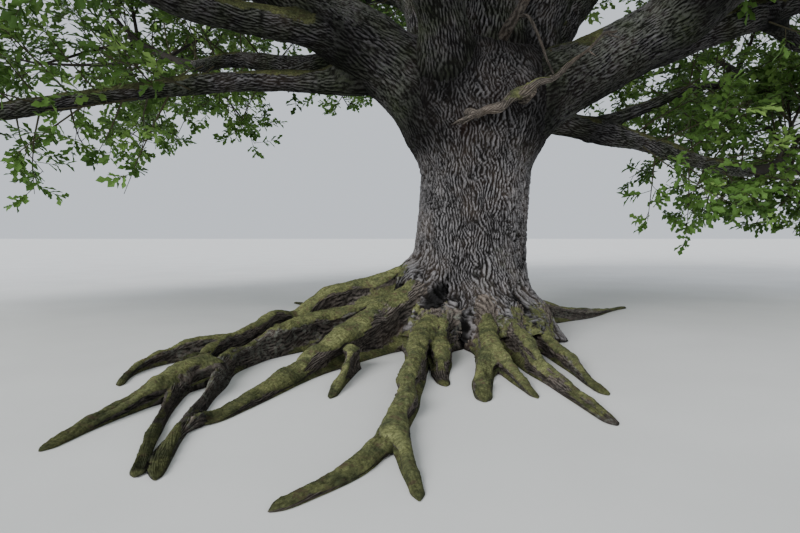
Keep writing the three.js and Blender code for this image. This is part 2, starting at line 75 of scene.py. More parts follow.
# A limb leaves its foot at a heading, which turn and swing change along it and crook sways.
ROOT_KEYS = "name foot heading turn swing length thick thin crest fall crook seed".split()
ROOT_ROWS = [
    ("root_left_ridge", (-0.8, -0.35), -182, 201, -85, 5.86, 0.17, 0.055, 0.98, 2.5, 4, 41),
    ("root_left_main", (-0.7, -0.7), -135, 67, -42, 3.77, 0.22, 0.08, 0.82, 2.4, 3, 45),
    ("root_front_long", (-0.5, -0.8), -115, 113, -135, 4.8, 0.17, 0.065, 0.42, 1.6, 4, 46),
    ("root_front_short", (-0.3, -0.85), -101, 8, 8, 2.17, 0.15, 0.07, 0.42, 1.6, 4, 47),
    ("root_front_right", (0.2, -0.9), -100, 0, 1, 2.64, 0.16, 0.07, 0.52, 1.8, 4, 48),
    ("root_right_main", (0.45, -0.8), -90, -1, 12, 3.31, 0.17, 0.06, 0.5, 1.8, 4, 49),
    ("root_right_back", (0.85, -0.5), -88, -17, 21, 2.8, 0.15, 0.06, 0.45, 1.8, 4, 50),
    ("root_back_right", (0.75, 0.45), 34, 30, -14, 3.6, 0.17, 0.06, 0.52, 2.2, 5, 54),
    ("root_back", (0.25, 0.85), 78, -20, 34, 4.5, 0.19, 0.06, 0.64, 2, 5, 55),
    ("root_back_left", (-0.55, 0.65), 122, 24, -20, 4, 0.18, 0.06, 0.56, 2.2, 5, 56),
    ("root_left_twin", (-0.8, -0.5), -166, 149, -47, 5.46, 0.17, 0.055, 0.62, 1.9, 4, 42),
    ("root_left_far", (-2.45, -1.25), -164, 86, 8, 2.2, 0.1, 0.045, 0.3, 1.2, 5, 43),
    ("root_left_long", (-2.7, -2.9), -108, 9, 1, 1.75, 0.12, 0.055, 0.24, 1.2, 3, 44),
]
# Short roots that branch from the root of that name
SPUR_ROWS = [
    ("root_left_main", (-1.37, -2.35), -95, 0, 0, 1.05, 0.09, 0.05, 0.24, 1.2, 2, 51),
    ("root_front_long", (-0.9, -4.3), -84, 0, 0, 1, 0.065, 0.04, 0.1, 1.2, 2, 52),
    ("root_front_right", (0.06, -1.9), -84, 0, 0, 1.5, 0.095, 0.05, 0.26, 1.2, 2, 53),
]
# Roots that bend to the right in their last half, slim down to their end and merge less
ROOT_EXTRAS = {
    "root_left_ridge": dict(straighten=0.20, end=0.62, web=0.08),
    "root_left_twin": dict(straighten=0.18, end=0.62, web=0.08),
}

# Lift, bend, curl and wave give a bough's slope along it. Its foot is a point, or another bough and
# the share of that bough's length. It ends in a mass of leaves that fills an egg-shaped space.
BOUGH_KEYS = ("name foot heading turn swing lift bend curl wave length thick thin crook seed"
              " mass middle reach").split()
BOUGH_ROWS = [
    ("bough_left_rising", (-0.3, -0.05, 2.95), -171, -4, -4, 52, -12, -6, -17, 7.49, 0.5, 0.17, 3, 11,
     "leaves_left_high", (-7.2, -0.6, 9.7), (3, 3, 2.5)),
    ("bough_left_low", ("bough_left_rising", 0.1), 175, 4, -1, -19, 21, 15, 14, 6.82, 0.15, 0.1, 4, 12,
     "leaves_left_low", (-9.3, 0.4, 3.9), (2.5, 3, 2)),
    ("bough_left_arching", ("bough_left_rising", 0.13), -157, 14, 1, 22, -11, -4, -13, 6.66, 0.24, 0.11,
     3, 13, "leaves_left_middle", (-8, -4.2, 6.2), (2.6, 2.8, 2.1)),
    ("bough_left_back", ("bough_left_rising", 0.13), 154, -16, -14, 12, -3, -1, -2, 4.84, 0.2, 0.1, 6, 14,
     "leaves_left_back", (-6.2, 4.4, 5), (3, 2.8, 2.1)),
    ("bough_right_rising", (0.4, -0.1, 2.8), -6, -10, 3, 36, 8, 4, -9, 7.6, 0.47, 0.16, 3, 15,
     "leaves_right_high", (7.3, -1, 9.3), (3, 3, 2.5)),
    ("bough_right_outer", ("bough_right_rising", 0.15), 20, -51, -10, 14, 11, 0, 5, 6.54, 0.27, 0.12, 3,
     16, "leaves_right_middle", (9, -1.8, 5.9), (2.6, 3, 2.1)),
    ("bough_right_drooping", ("bough_right_outer", 0.45), 50, -31, -2, -17, 36, 21, 8, 3.91, 0.13, 0.09,
     5, 17, "leaves_right_far", (8.9, 2.9, 5.6), (2.5, 2.8, 2.1)),
    ("bough_right_low", (0.45, 0.45, 3.25), 13, 19, -1, -13, 9, 0, 0, 5.28, 0.22, 0.09, 3, 18,
     "leaves_right_low", (6.6, 3.5, 2.9), (2.3, 2.2, 1.5)),
    ("bough_right_fork", ("bough_right_low", 0.3), 32, 3, 1, 18, -1, -1, 5, 4.7, 0.11, 0.06, 5, 19,
     "leaves_right_back", (6.3, 6.2, 5.3), (2.6, 2.5, 2)),
    ("bough_front_upright", (-0.15, -0.3, 3.1), -110, -14, -6, 50, 19, 5, 9, 6.99, 0.33, 0.14, 3, 20,
     "leaves_front_high", (-2.6, -4.2, 11.2), (2.9, 2.9, 2.4)),
    ("leader", (0.25, 0.02, 3), 44, 1, 1, 85, 13, -7, 0, 9.91, 0.59, 0.15, 3, 21, "leaves_top",
     (0.1, 0.6, 15.4), (3.3, 3.3, 2.5)),
    ("bough_centre_right", (0.45, 0.05, 3), 3, -11, -20, 67, 18, -15, -7, 8.28, 0.36, 0.14, 4, 22,
     "leaves_top_right", (3.6, -0.4, 13), (2.8, 2.8, 2.3)),
    ("bough_back_right", (0.5, 0.35, 3), 35, 19, 6, 48, -5, 12, -3, 6.91, 0.3, 0.13, 4, 23,
     "leaves_back_right_high", (4.4, 4.6, 10.1), (3, 2.9, 2.5)),
    ("bough_back_left", (-0.15, 0.4, 2.9), 104, 4, 4, 38, -5, -6, 17, 7.35, 0.38, 0.13, 5, 24,
     "leaves_back_left", (-2.6, 8, 7), (2.9, 2.7, 2.2)),
    ("bough_back", (0.25, 0.45, 2.9), 78, 5, 6, 31, -6, -5, 13, 7.61, 0.33, 0.13, 5, 25, "leaves_back",
     (1.4, 9, 6.6), (2.6, 2.5, 2.1)),
    ("leader_back_left", ("leader", 0.3), 122, 4, 2, 39, -3, -3, 6, 5.29, 0.24, 0.12, 5, 26,
     "leaves_back_left_high", (-2.8, 5.2, 10.6), (3, 2.9, 2.5)),
    ("leader_left", ("leader", 0.42), -176, -2, -1, 60, -3, -2, -1, 5.02, 0.22, 0.12, 5, 27,
     "leaves_top_left", (-3.3, 0.3, 13), (2.8, 2.8, 2.4)),
    ("bough_front_right", ("bough_front_upright", 0.3), -41, -2, -1, 48, 1, 1, 0, 5.84, 0.22, 0.12, 5, 28,
     "leaves_front_right_high", (3, -4.6, 11), (2.9, 2.8, 2.4)),
    ("bough_front", ("bough_front_upright", 0.22), -84, -2, -1, 30, -3, -3, 8, 6.1, 0.2, 0.11, 5, 29,
     "leaves_front", (0.1, -8.4, 8.3), (2.7, 2.5, 2.1)),
    ("bough_left_front", ("bough_left_rising", 0.36), -118, 5, 6, 23, -2, -2, 2, 5.74, 0.22, 0.11, 5, 30,
     "leaves_left_front", (-5, -7, 7.6), (2.7, 2.6, 2.1)),
    ("bough_right_front", ("bough_right_rising", 0.36), -64, 0, -1, 30, -3, -3, 7, 5.64, 0.22, 0.11, 5,
     31, "leaves_right_front", (5.4, -6.4, 7.4), (2.8, 2.6, 2.2)),
    ("bough_left_upper", ("bough_left_rising", 0.46), 130, -1, -1, 36, 0, 0, 0, 5.36, 0.2, 0.11, 5, 32,
     "leaves_left_back_high", (-6.6, 4.4, 9.1), (2.8, 2.8, 2.3)),
]

ROOTS = [dict(zip(ROOT_KEYS, row), **ROOT_EXTRAS.get(row[0], {})) for row in ROOT_ROWS]
SPURS = [dict(zip(ROOT_KEYS, row), name="spur_of_" + row[0], of=row[0], slim=0.70)
         for row in SPUR_ROWS]
ROOT_PARTS = {s["name"]: [s] + [spur for spur in SPURS if spur["of"] == s["name"]] for s in ROOTS}
BOUGHS = [dict(zip(BOUGH_KEYS, row)) for row in BOUGH_ROWS]
BOUGH_STEPS = 9
ROOT_STEPS = 8

# A root whose foot is further than this from the trunk's middle branches from another root, and its
# skin starts this far inside the one that bears it.
FROM_TRUNK, BURIED = 1.3, 0.24

# Before a limb has bark: metres between its rings, and points to a ring
BOUGH_RING, THICK_COLS, THIN_COLS = 0.16, 40, 28
ROOT_RING, ROOT_COLS = 0.08, 56
TRUNK_RING_COLS = 112
# For each bark mesh: metres between its rings, and columns to a pair of its ridges
BOUGH_MESH, HIDDEN_MESH = (0.046, 10), (0.11, 5.5)
ROOT_MESH, BACK_ROOT_MESH = (0.022, 10), (0.07, 6)
TRUNK_ROWS, TRUNK_COLS = 178, 10
# The trunk's radius where its ridges are counted, and pairs of ridges to a ridge's spacing
TRUNK_MEAN, TRUNK_PAIRS, BOUGH_PAIRS = 0.82, 0.5, 0.42

# A bough swells at its foot by this share of its radius, over this many radii of its length. Its skin
# takes some of the swelling back.
FOOT_SWELL, FOOT_RUN, FOOT_SLIM = 0.45, 1.1, 0.28

DEAD = dict(start=(-0.1, -0.96, 2.74), middle=(0.63, -1.12, 3.03), end=(1.54, -1.4, 3.64),
            start_radius=0.06, middle_radius=0.07, end_radius=0.028, knot_radius=0.12,
            knot_heart=(0.56, -0.3, 3.0))
GROWTH = dict(stem_thin=0.045, stem_steps=3, twigs=9, golden=137.5, twig_thick=0.046, twig_thin=0.028,
              spray=1.65, spray_wide=0.68, spray_thick=0.05, margin=0.13, tilt=2.4, clearance=0.0004)

# How strongly moss covers each limb, near the trunk and at its far end, and the other ones
MOSSY = {"root_left_ridge": (1.0, 0.2), "root_left_main": (0.95, 0.8), "root_front_long": (0.9, 0.8),
         "root_front_short": (0.95, 0.7), "root_front_right": (0.9, 0.8),
         "root_right_main": (0.85, 0.65), "root_right_back": (0.8, 0.6), "root_left_twin": (0.85, 0.1),
         "root_left_far": (0.85, 0.8), "root_left_long": (0.8, 1.0),
         "bough_left_arching": (0.85, 0.85), "bough_left_low": (0.8, 0.8),
         "bough_right_rising": (0.65, 0.65), "bough_right_low": (0.75, 0.75),
         "bough_right_outer": (0.6, 0.6), "bough_left_rising": (0.5, 0.5)}
ROOT_MOSS, BOUGH_MOSS = (0.75, 0.5), (0.4, 0.4)

# How much lichen a bough bears, and the other ones; below 0 it is sparse. On bough_right_rising the pale
# lichen also stands in for the light that falls on it, as painted light.
LICHEN_AND_LIT_BAND = {"bough_right_rising": 0.75, "bough_left_rising": 0.15}
LITTLE_LICHEN = -0.15

# How far the skin of a bough arches up over its line at the middle
ARCHED = {"bough_left_low": 0.10}

# Boughs high up or at the back, whose bark has a coarser mesh
HIDDEN = {"bough_back_left", "bough_back", "leader_back_left", "leader_left", "bough_left_upper",
          "bough_front", "bough_front_right", "bough_right_fork"}


# Small mathematics

def mix(a, b, t):
    """From a to b as t goes from 0 to 1."""
    return a + (b - a) * t


def smooth(t):
    """A soft step from 0 to 1 as t goes from 0 to 1."""
    s = np.clip(t, 0, 1)
    return s * s * (3 - 2 * s)


def unit(a):
    """The same directions with a length of one."""
    a = np.asarray(a, float)
    return a / np.maximum(np.linalg.norm(a, axis=-1, keepdims=True), 1e-12)


MASK = 0xFFFFFFFF


def seeded(seed):
    """A seeded row of numbers between 0 and 1, the same row as the solids grow by."""
    state = [seed & MASK]

    def draw():
        state[0] = (state[0] + 0x6D2B79F5) & MASK
        t = state[0]
        t = ((t ^ (t >> 15)) * (t | 1)) & MASK
        t ^= (t + (((t ^ (t >> 7)) * (t | 61)) & MASK)) & MASK
        return ((t ^ (t >> 14)) & MASK) / (MASK + 1)

    return draw


def hashed(ix, iy, iz, salt):
    """A number from 0 to 1 for each whole-number place."""
    n = (ix * 73856093) ^ (iy * 19349663) ^ (iz * 83492791) ^ (salt * 40503 + 977)
    n = n & MASK
    n = ((n ^ (n >> 15)) * 0x2C1B3C6D) & MASK
    n = ((n ^ (n >> 12)) * 0x297A2D39) & MASK
    n = n ^ (n >> 15)
    return (n & 0xFFFFFF) / 0xFFFFFF


def noise(points, size, salt=0):
    """Smooth noise from -1 to 1 with lumps of that size."""
    q = np.asarray(points, float) / size
    i = np.floor(q).astype(np.int64)
    f = q - i
    f = f * f * (3 - 2 * f)
    total = np.zeros(q.shape[:-1])
    for dx in (0, 1):
        wx = f[..., 0] if dx else 1 - f[..., 0]
        for dy in (0, 1):
            wy = f[..., 1] if dy else 1 - f[..., 1]
            for dz in (0, 1):
                wz = f[..., 2] if dz else 1 - f[..., 2]
                total += wx * wy * wz * hashed(i[..., 0] + dx, i[..., 1] + dy, i[..., 2] + dz, salt)
    return total * 2 - 1


def layered(points, size, salt=0, layers=3):
    """Noise with finer noise on it."""
    total = 0
    for k in range(layers):
        total = total + noise(points, size * 0.5 ** k, salt + k) * 0.5 ** k
    return total / (2 - 0.5 ** (layers - 1))


def folds(u, v, around, salt):
    """Smooth noise from -1 to 1 on a sheet that wraps in u after that many lumps."""
    iu, iv = np.floor(u).astype(np.int64), np.floor(v).astype(np.int64)
    fu, fv = u - iu, v - iv
    fu, fv = fu * fu * (3 - 2 * fu), fv * fv * (3 - 2 * fv)
    total = 0
    for du in (0, 1):
        for dv in (0, 1):
            weight = (fu if du else 1 - fu) * (fv if dv else 1 - fv)
            total = total + weight * hashed(np.mod(iu + du, around), iv + dv, 0 * iv, salt)
    return total * 2 - 1


def stripes(u, v, around, salt):
    """Winding upright ridges, two to each step of u, that split and join; u wraps."""
    iu, iv = np.floor(u).astype(np.int64), np.floor(v).astype(np.int64)
    total, weights = 0, 0
    for du in (-1, 0, 1):
        for dv in (-1, 0, 1):
            cu, cv = np.mod(iu + du, around), iv + dv
            x = u - (iu + du) - hashed(cu, cv, 0 * cv, salt)
            y = v - (iv + dv) - hashed(cu, cv, 0 * cv + 1, salt)
            lean = 3.4 * (hashed(cu, cv, 0 * cv + 2, salt) - 0.5)
            phase = hashed(cu, cv, 0 * cv + 3, salt)
            pace = 1.5 + 1.1 * hashed(cu, cv, 0 * cv + 4, salt)
            weight = np.exp(-(x * x + y * y) / 0.30)
            total = total + weight * np.cos(FULL_TURN * (pace * x + lean * y + phase))
            weights = weights + weight * weight
    return total / np.sqrt(weights + 1e-9)


def spline(values, at):
    """Smooth values at shares 0 to 1 along a row of given ones."""
    values = np.asarray(values, float)
    last = len(values) - 1
    q = np.clip(np.asarray(at, float) * last, 0, last - 1e-9)
    i = np.floor(q).astype(int)
    f = (q - i).reshape((-1,) + (1,) * (values.ndim - 1))
    a, b = values[np.maximum(i - 1, 0)], values[i]
    c, d = values[np.minimum(i + 1, last)], values[np.minimum(i + 2, last)]
    return b + 0.5 * f * (c - a + f * (2 * a - 5 * b + 4 * c - d + f * (3 * (b - c) + d - a)))


def finer(grid, rows, cols):
    """The same rings with more rows and columns, smoothly in between."""
    grid = spline(grid, np.linspace(0, 1, rows))
    n = grid.shape[1]
    looped = np.concatenate([grid[:, -2:], grid, grid[:, :3]], axis=1)
    places = (2 + np.arange(cols) / cols * n) / (looped.shape[1] - 1)
    return np.swapaxes(spline(np.swapaxes(looped, 0, 1), places), 0, 1)


def finer_value(values, rows, cols):
    """One value for each point of rings, at more rows and columns."""
    return finer(values[..., None], rows, cols)[..., 0]


def above_ground(grid):
    """The rings with nothing below the ground."""
    grid = grid.copy()
    grid[..., 2] = np.maximum(grid[..., 2], 0)
    return grid


def facing(grid):
    """The outward direction at each point of rings that run round a limb."""
    round_ = np.roll(grid, -1, axis=1) - np.roll(grid, 1, axis=1)
    along = np.gradient(grid, axis=0)
    return unit(np.cross(round_, along))


# The frame's own lines

def bough_path(s, foot):
    """Points along the middle of a bough, and its radius at each."""
    draw = seeded(s["seed"])
    first, second = draw() * FULL_TURN, draw() * FULL_TURN
    points = [np.asarray(foot, float)]
    step = s["length"] / BOUGH_STEPS
    for k in range(1, BOUGH_STEPS + 1):
        t = (k - 0.5) / BOUGH_STEPS
        a = math.radians(s["heading"] + s["turn"] * t + s["swing"] * t * t
                         + s["crook"] * math.sin(FULL_TURN * 1.4 * t + first))
        e = math.radians(s["lift"] + s["bend"] * t + s["curl"] * t * t
                         + s["wave"] * math.sin(FULL_TURN * t)
                         + 0.8 * s["crook"] * math.sin(FULL_TURN * 1.8 * t + second))
        way = np.array([math.cos(e) * math.cos(a), math.cos(e) * math.sin(a), math.sin(e)])
        points.append(points[-1] + way * step)
    t = np.linspace(0, 1, BOUGH_STEPS + 1)
    swell = 1 + FOOT_SWELL * np.exp(-t * s["length"] / (FOOT_RUN * s["thick"]))
    return np.array(points), mix(s["thick"], s["thin"], t ** 0.85) * swell


def bough_paths():
    """Points and radii of every bough, by name."""
    paths = {}
    for s in BOUGHS:
        foot = s["foot"]
        if len(foot) == 2:
            points = paths[foot[0]][0]
            q = foot[1] * BOUGH_STEPS
            k = int(q)
            foot = points[k] + (points[k + 1] - points[k]) * (q - k)
        paths[s["name"]] = bough_path(s, foot)
    return paths


def root_path(s):
    """Rows of x, y, heading, half width and crest height along a root."""
    draw = seeded(s["seed"])
    first = draw() * FULL_TURN
    x, y = s["foot"]
    rows = []
    for k in range(ROOT_STEPS + 1):
        t, m = k / ROOT_STEPS, (k + 0.5) / ROOT_STEPS
        a = math.radians(s["heading"] + s["turn"] * m + s["swing"] * m * m
                         + s["crook"] * math.sin(FULL_TURN * 1.5 * m + first))
        half = mix(s["thick"], s["thin"], t ** 0.8)
        tip = s["thin"] * 1.1
        crest = max(tip + (s["crest"] - tip) * (1 - t) ** s["fall"], half * 1.15)
        rows.append([x, y, a, half, crest])
        x += s["length"] / ROOT_STEPS * math.cos(a)
        y += s["length"] / ROOT_STEPS * math.sin(a)
    rows = np.array(rows)
    t = np.linspace(0, 1, len(rows))
    rows[:, 0] += s.get("straighten", 0) * np.sin(math.pi * np.clip((t - 0.5) / 0.5, 0, 1))
    return rows


PATHS = bough_paths()


def bump(angle, at, spread):
    """A round bump of height one, at an angle and that many degrees wide."""
    d = np.arctan2(np.sin(angle - at), np.cos(angle - at)) / math.radians(spread)
    return np.exp(-d * d)


def trunk_radius(angle, z):
    """The trunk's radius, with a lobe toward each root that leaves it, and its cleft and dome."""
    t = TRUNK
    headings = [math.atan2(*s["foot"][::-1]) for s in ROOTS if math.hypot(*s["foot"]) < FROM_TRUNK]
    r = t["waist"] + t["flare"] * np.exp(-z / t["flare_drop"])
    r = r + t["swell"] * smooth((z - t["swell_low"]) / (t["swell_high"] - t["swell_low"]))
    lobes = np.max([bump(angle, at, t["lobe_spread"]) for at in headings], axis=0)
    r = r + t["lobe"] * (2 * lobes - 1) * np.exp(-z / t["lobe_drop"])
    open_ = smooth(1.3 - z / t["cleft_top"])
    r = r - t["cleft_depth"] * open_ * bump(angle, math.radians(t["cleft_heading"]), t["cleft_spread"])
    dome = np.clip((z - t["dome_low"]) / (t["top"] - t["dome_low"]), 0, 0.9995)
    return r * np.sqrt(1 - dome * dome)


# Distances to the limbs, for smooth forks

# How wide the web is where a limb meets the trunk, another bough at the fork, or a root, in metres
TRUNK_WEB, FORK_WEB, ROOT_WEB = 0.34, 0.20, 0.10
# How far out a web may push the skin, and how far from a join its crease reaches, narrow and wide; there
# the bark is smoother and painted shade darkens it
WEB_REACH = 0.35
CREASE_NARROW, CREASE_WIDE = 0.12, 0.36
TRUNK_BOX = np.array([[-1.6, -1.6, 0], [1.8, 1.6, 4.1]])
# Rounds that a web takes to settle, and times that it is evened out
WEB_ROUNDS, EVEN_ROUNDS = 7, 2
# A ring of a limb is left out where all of it lies deeper than this in other limbs.
UNSEEN = 0.10


def trunk_field(p):
    """How far points lie outside the trunk."""
    z = np.clip(p[:, 2], 0, TRUNK["top"])
    x = p[:, 0] - TRUNK["lean"] * z
    out = np.hypot(x, p[:, 1])
    r = trunk_radius(np.arctan2(p[:, 1], x), z)
    slope = TRUNK["flare"] / TRUNK["flare_drop"] * np.exp(-z / TRUNK["flare_drop"])
    return (out - r) / np.sqrt(1 + slope ** 2)


def tube_field(points, radii):
    """A function that gives how far points lie outside a tapering tube."""
    starts, steps = points[:-1], np.diff(points, axis=0)

    def field(p):
        best = np.full(len(p), 1e3)
        for a, d, r, s in zip(starts, steps, radii, radii[1:]):
            t = np.clip(((p - a) @ d) / (d @ d), 0, 1)
            gap = np.linalg.norm(p - a - t[:, None] * d, axis=1) - (r + (s - r) * t)
            best = np.minimum(best, gap)
        return best

    return field


def root_flank(half, crest, share):
    """Half width of a root below its round back, at a share of the flank's height."""
    tall = np.maximum(crest - half, 0)
    waist = 0.26 * np.minimum(1, tall / half) * np.sin(math.pi * np.clip(share, 0, 1))
    return half * (1 - waist) + (0.10 * half + 0.10 * tall) * (1 - share) ** 2


def root_field(rows):
    """A function that gives how far points lie outside a root."""
    line = spline(rows, np.linspace(0, 1, 25))

    def field(p):
        best = np.full(len(p), 1e3)
        for a, b in zip(line, line[1:]):
            d = b[:2] - a[:2]
            t = np.clip(((p[:, :2] - a[:2]) @ d) / (d @ d), 0, 1)
            w = np.linalg.norm(p[:, :2] - a[:2] - t[:, None] * d, axis=1)
            half, crest = a[3] + (b[3] - a[3]) * t, a[4] + (b[4] - a[4]) * t
            low = np.maximum(crest - half, 0)
            rise = p[:, 2] - low
            reach = np.hypot(w, rise)
            q = np.hypot(w / half, rise / (crest - low))
            above = reach * (1 - 1 / np.maximum(q, 0.05))
            share = np.clip(p[:, 2] / np.maximum(low, 1e-6), 0, 1)
            below = w - root_flank(half, crest, share)
            best = np.minimum(best, np.where(rise > 0, above, below))
        return best

    return field


def slimmer(s, radii):
    """The radii of a bough with less of the swelling at its foot, where its web makes up for it."""
    t = np.linspace(0, 1, len(radii))
    return radii / (1 + FOOT_SLIM * np.exp(-t * s["length"] / (FOOT_RUN * s["thick"])))


def limb_fields():
    """Name, distance function, blending width and box of every limb."""
    fields = [("trunk", trunk_field, TRUNK_WEB, *TRUNK_BOX)]
    for s in BOUGHS:
        points, radii = PATHS[s["name"]]
        at = np.linspace(0, 1, 28)
        line, thick = spline(points, at), spline(slimmer(s, radii), at)
        from_trunk = len(s["foot"]) == 3
        k = FORK_WEB if from_trunk else 0.06 + 0.7 * s["thick"]
        fields.append((s["name"], tube_field(line, thick), k,
                       line.min(0) - s["thick"] * 1.5, line.max(0) + s["thick"] * 1.5))
    for s in (part for parts in ROOT_PARTS.values() for part in parts):
        rows = root_path(s)
        room = s["thick"] + s["crest"] * 0.3
        lo = np.append(rows[:, :2].min(0) - room, 0)
        hi = np.append(rows[:, :2].max(0) + room, s["crest"])
        fields.append((s["name"], root_field(rows), ROOT_WEB, lo, hi))
    return fields


FIELDS = limb_fields()


def blended(name, grid, own_k):
    """The rings pushed out where other limbs join them, so that every fork has a smooth web.

    Also gives how close each point is to such a join, from 0 to 1."""
    rows, cols = grid.shape[:2]
    push = facing(grid).reshape(-1, 3)
    p = grid.reshape(-1, 3)
    lo, hi = p.min(0), p.max(0)
    near = []
    for other, field, k, low, high in FIELDS:
        if other != name and np.all(lo - k < high) and np.all(hi + k > low):
            wide = TRUNK_WEB if "trunk" in (name, other) else k
            near.append((field, min(wide, own_k)))
    s = np.zeros(len(p))
    if not near:
        return grid, np.zeros((rows, cols))
    inside = np.ones(len(p))
    seam = np.zeros(len(p))
    for field, k in near:
        d = field(p)
        inside = np.minimum(inside, smooth(1 + d / (0.12 + 0.25 * k)))
        seam = np.maximum(seam, 0.6 * np.exp(-(d / CREASE_NARROW) ** 2)
                          + 0.4 * np.exp(-(d / CREASE_WIDE) ** 2))
    # Each round moves the skin most of the way to where the blended distance is nought.
    for _ in range(WEB_ROUNDS):
        q = p + push * s[:, None]
        total = s.copy()
        for field, k in near:
            d = field(q)
            h = np.maximum(k - np.abs(total - d), 0) / k
            total = np.minimum(total, np.maximum(d, -0.02)) - h * h * k / 4
        s = np.clip(s - 0.8 * total, 0, WEB_REACH)
    s = (s * inside).reshape(rows, cols)
    for _ in range(EVEN_ROUNDS):
        s = (s + np.roll(s, 1, 1) + np.roll(s, -1, 1) + np.vstack([s[:1], s[:-1]])
             + np.vstack([s[1:], s[-1:]])) / 5
    return grid + push.reshape(grid.shape) * s[..., None], seam.reshape(rows, cols)


def visible_rows(name, grid):
    """The first row that isn't wholly buried in another limb."""
    p = grid.reshape(-1, 3)
    lo, hi = p.min(0), p.max(0)
    depth = np.full(len(p), 1e3)
    for other, field, _, low, high in FIELDS:
        if other != name and np.all(lo < high) and np.all(hi > low):
            depth = np.minimum(depth, field(p))
    shown = (depth.reshape(grid.shape[:2]) > -UNSEEN).any(axis=1)
    first = int(np.argmax(shown)) if shown.any() else 0
    return max(0, first - 1)


# Rings

# Hollows at the foot of the trunk: heading and width in degrees, height of the middle, half height,
# and depth from 0 to 1
HOLLOWS = [(243, 5.0, 0.53, 0.20, 1.0), (214, 5.5, 0.50, 0.16, 0.7),
           (302, 4.5, 0.52, 0.15, 0.6), (262, 5.0, 0.15, 0.3, 0.7)]
HOLLOW_DEPTH = 0.24
# The trunk's rings start inside the solid, so that the bark's ridges don't make it thicker.
TRUNK_INSET = 0.035


def tube_rings(points, radii, cols):
    """Rings of that many points round a line, without twist."""
    ways = unit(np.gradient(points, axis=0))
    side = np.cross(ways[0], [1, 0, 0] if abs(ways[0][2]) > 0.9 else [0, 0, 1])
    a = np.arange(cols) / cols * FULL_TURN
    grid = np.zeros((len(points), cols, 3))
    for k, way in enumerate(ways):
        side = unit(side - way * (side @ way))
        up = np.cross(way, side)
        grid[k] = points[k] + radii[k] * (np.cos(a)[:, None] * side + np.sin(a)[:, None] * up)
    return grid


def rounded_start(points, radii):
    """A line with a half ball added before its first point, so that its foot is buried softly."""
    back = unit(points[0] - points[1])
    turns = np.radians([84, 66, 48, 32, 16])
    more = points[0] + back * (radii[0] * np.sin(turns))[:, None]
    return np.concatenate([more, points]), np.concatenate([radii[0] * np.cos(turns), radii])


def hollows(angle, z):
    """Where hollows open between the roots at the foot of the trunk, from 0 to 1; the skin sinks there
    and is darkened with painted shade.
    """
    open_ = 0
    for heading, spread, middle, high, deep in HOLLOWS:
        tall = np.exp(-(np.abs(z - middle) / high) ** 2.5)
        open_ = np.maximum(open_, deep * tall * bump(angle, math.radians(heading), spread))
    return open_


def trunk_rings(cols):
    """Rings of the trunk from the ground to the fork, where they close in a dome."""
    z = np.concatenate([np.linspace(0, 3.1, 46), np.linspace(3.16, 3.86, 14)])
    a = np.arange(cols) / cols * FULL_TURN
    zz, aa = np.meshgrid(z, a, indexing="ij")
    r = trunk_radius(aa, zz) - TRUNK_INSET
    r = r - HOLLOW_DEPTH * hollows(aa, zz)
    crown = np.clip((zz - 2.5) / 1.4, 0, 0.995)
    r = np.minimum(r, (r / np.sqrt(1 - np.clip((zz - 2.9) / 1.1, 0, 0.999) ** 2))
                   * np.sqrt(1 - crown ** 2))
    return np.stack([TRUNK["lean"] * zz + r * np.cos(aa), r * np.sin(aa), zz], axis=-1)


def root_rings(rows, count, cols, slim, end):
    """Rings of a root: a flat underside, flanks that draw in, and a round back on top."""
    line = spline(rows, np.linspace(0, 1, count))
    t = np.linspace(0, 1, count)
    run = np.concatenate([[0], np.cumsum(np.hypot(*np.diff(line[:, :2], axis=0).T))])
    if np.hypot(*rows[0, :2]) > FROM_TRUNK:
        begin = np.sqrt(np.clip(1 - (1 - np.minimum(run / (1.3 * line[0, 3]), 1)) ** 2, 0.03, 1))
        line[:, 3:] *= begin[:, None]
    # Towards its end the root keeps its width, sinks into the ground and ends in a round nose.
    nose = np.clip(1 - (run[-1] - run) / (2.6 * line[-1, 3]), 0, 1)
    nose = np.sqrt(np.clip(1 - nose ** 2, 0.02, 1))
    knobs = noise(np.stack([run * 1.0, 0 * run, 0 * run], axis=1), 0.42, int(slim * 100) + count)
    line[:, 3] *= mix(slim, end, smooth((t - 0.3) / 0.4)) * nose * (1 + 0.20 * knobs)
    line[:, 4] *= mix(1, 0.85, smooth((t - 0.45) / 0.4)) * (1 - 0.6 * smooth((t - 0.72) / 0.28)) * nose
    line[:, 4] *= 1 + 0.16 * np.roll(knobs, 3) * smooth(t / 0.3)
    top = int(cols * 0.86)
    flank = top // 4
    turn = np.linspace(0, math.pi, top - 2 * flank)
    climb = np.linspace(0, 1, flank, endpoint=False)
    under = np.linspace(-1, 1, cols - top + 2)[1:-1]
    grid = np.zeros((count, cols, 3))
    ways = unit(np.gradient(line[:, :2], axis=0))
    for k, (x, y, _, half, crest) in enumerate(line):
        across = np.array([-ways[k][1], ways[k][0], 0])
        low = max(crest - half, crest * 0.12)
        sides = root_flank(half, crest, climb)
        width = np.concatenate([sides, half * np.cos(turn), -sides[::-1]])
        high = np.concatenate([low * climb, low + (crest - low) * np.sin(turn), low * climb[::-1]])
        grid[k, :top] = across * width[:, None] + np.array([0, 0, 1]) * high[:, None]
        grid[k, top:] = across * (sides[0] * under)[:, None]
        grid[k] += [x, y, 0]
    return grid


def run_along(points):
    """How far along a line each of its points is."""
    return np.concatenate([[0], np.cumsum(np.linalg.norm(np.diff(points, axis=0), axis=1))])


def lumps(grid, size, amount, salt):
    """The rings with soft swellings."""
    return grid + facing(grid) * (layered(grid, size, salt, 2) * amount)[..., None]


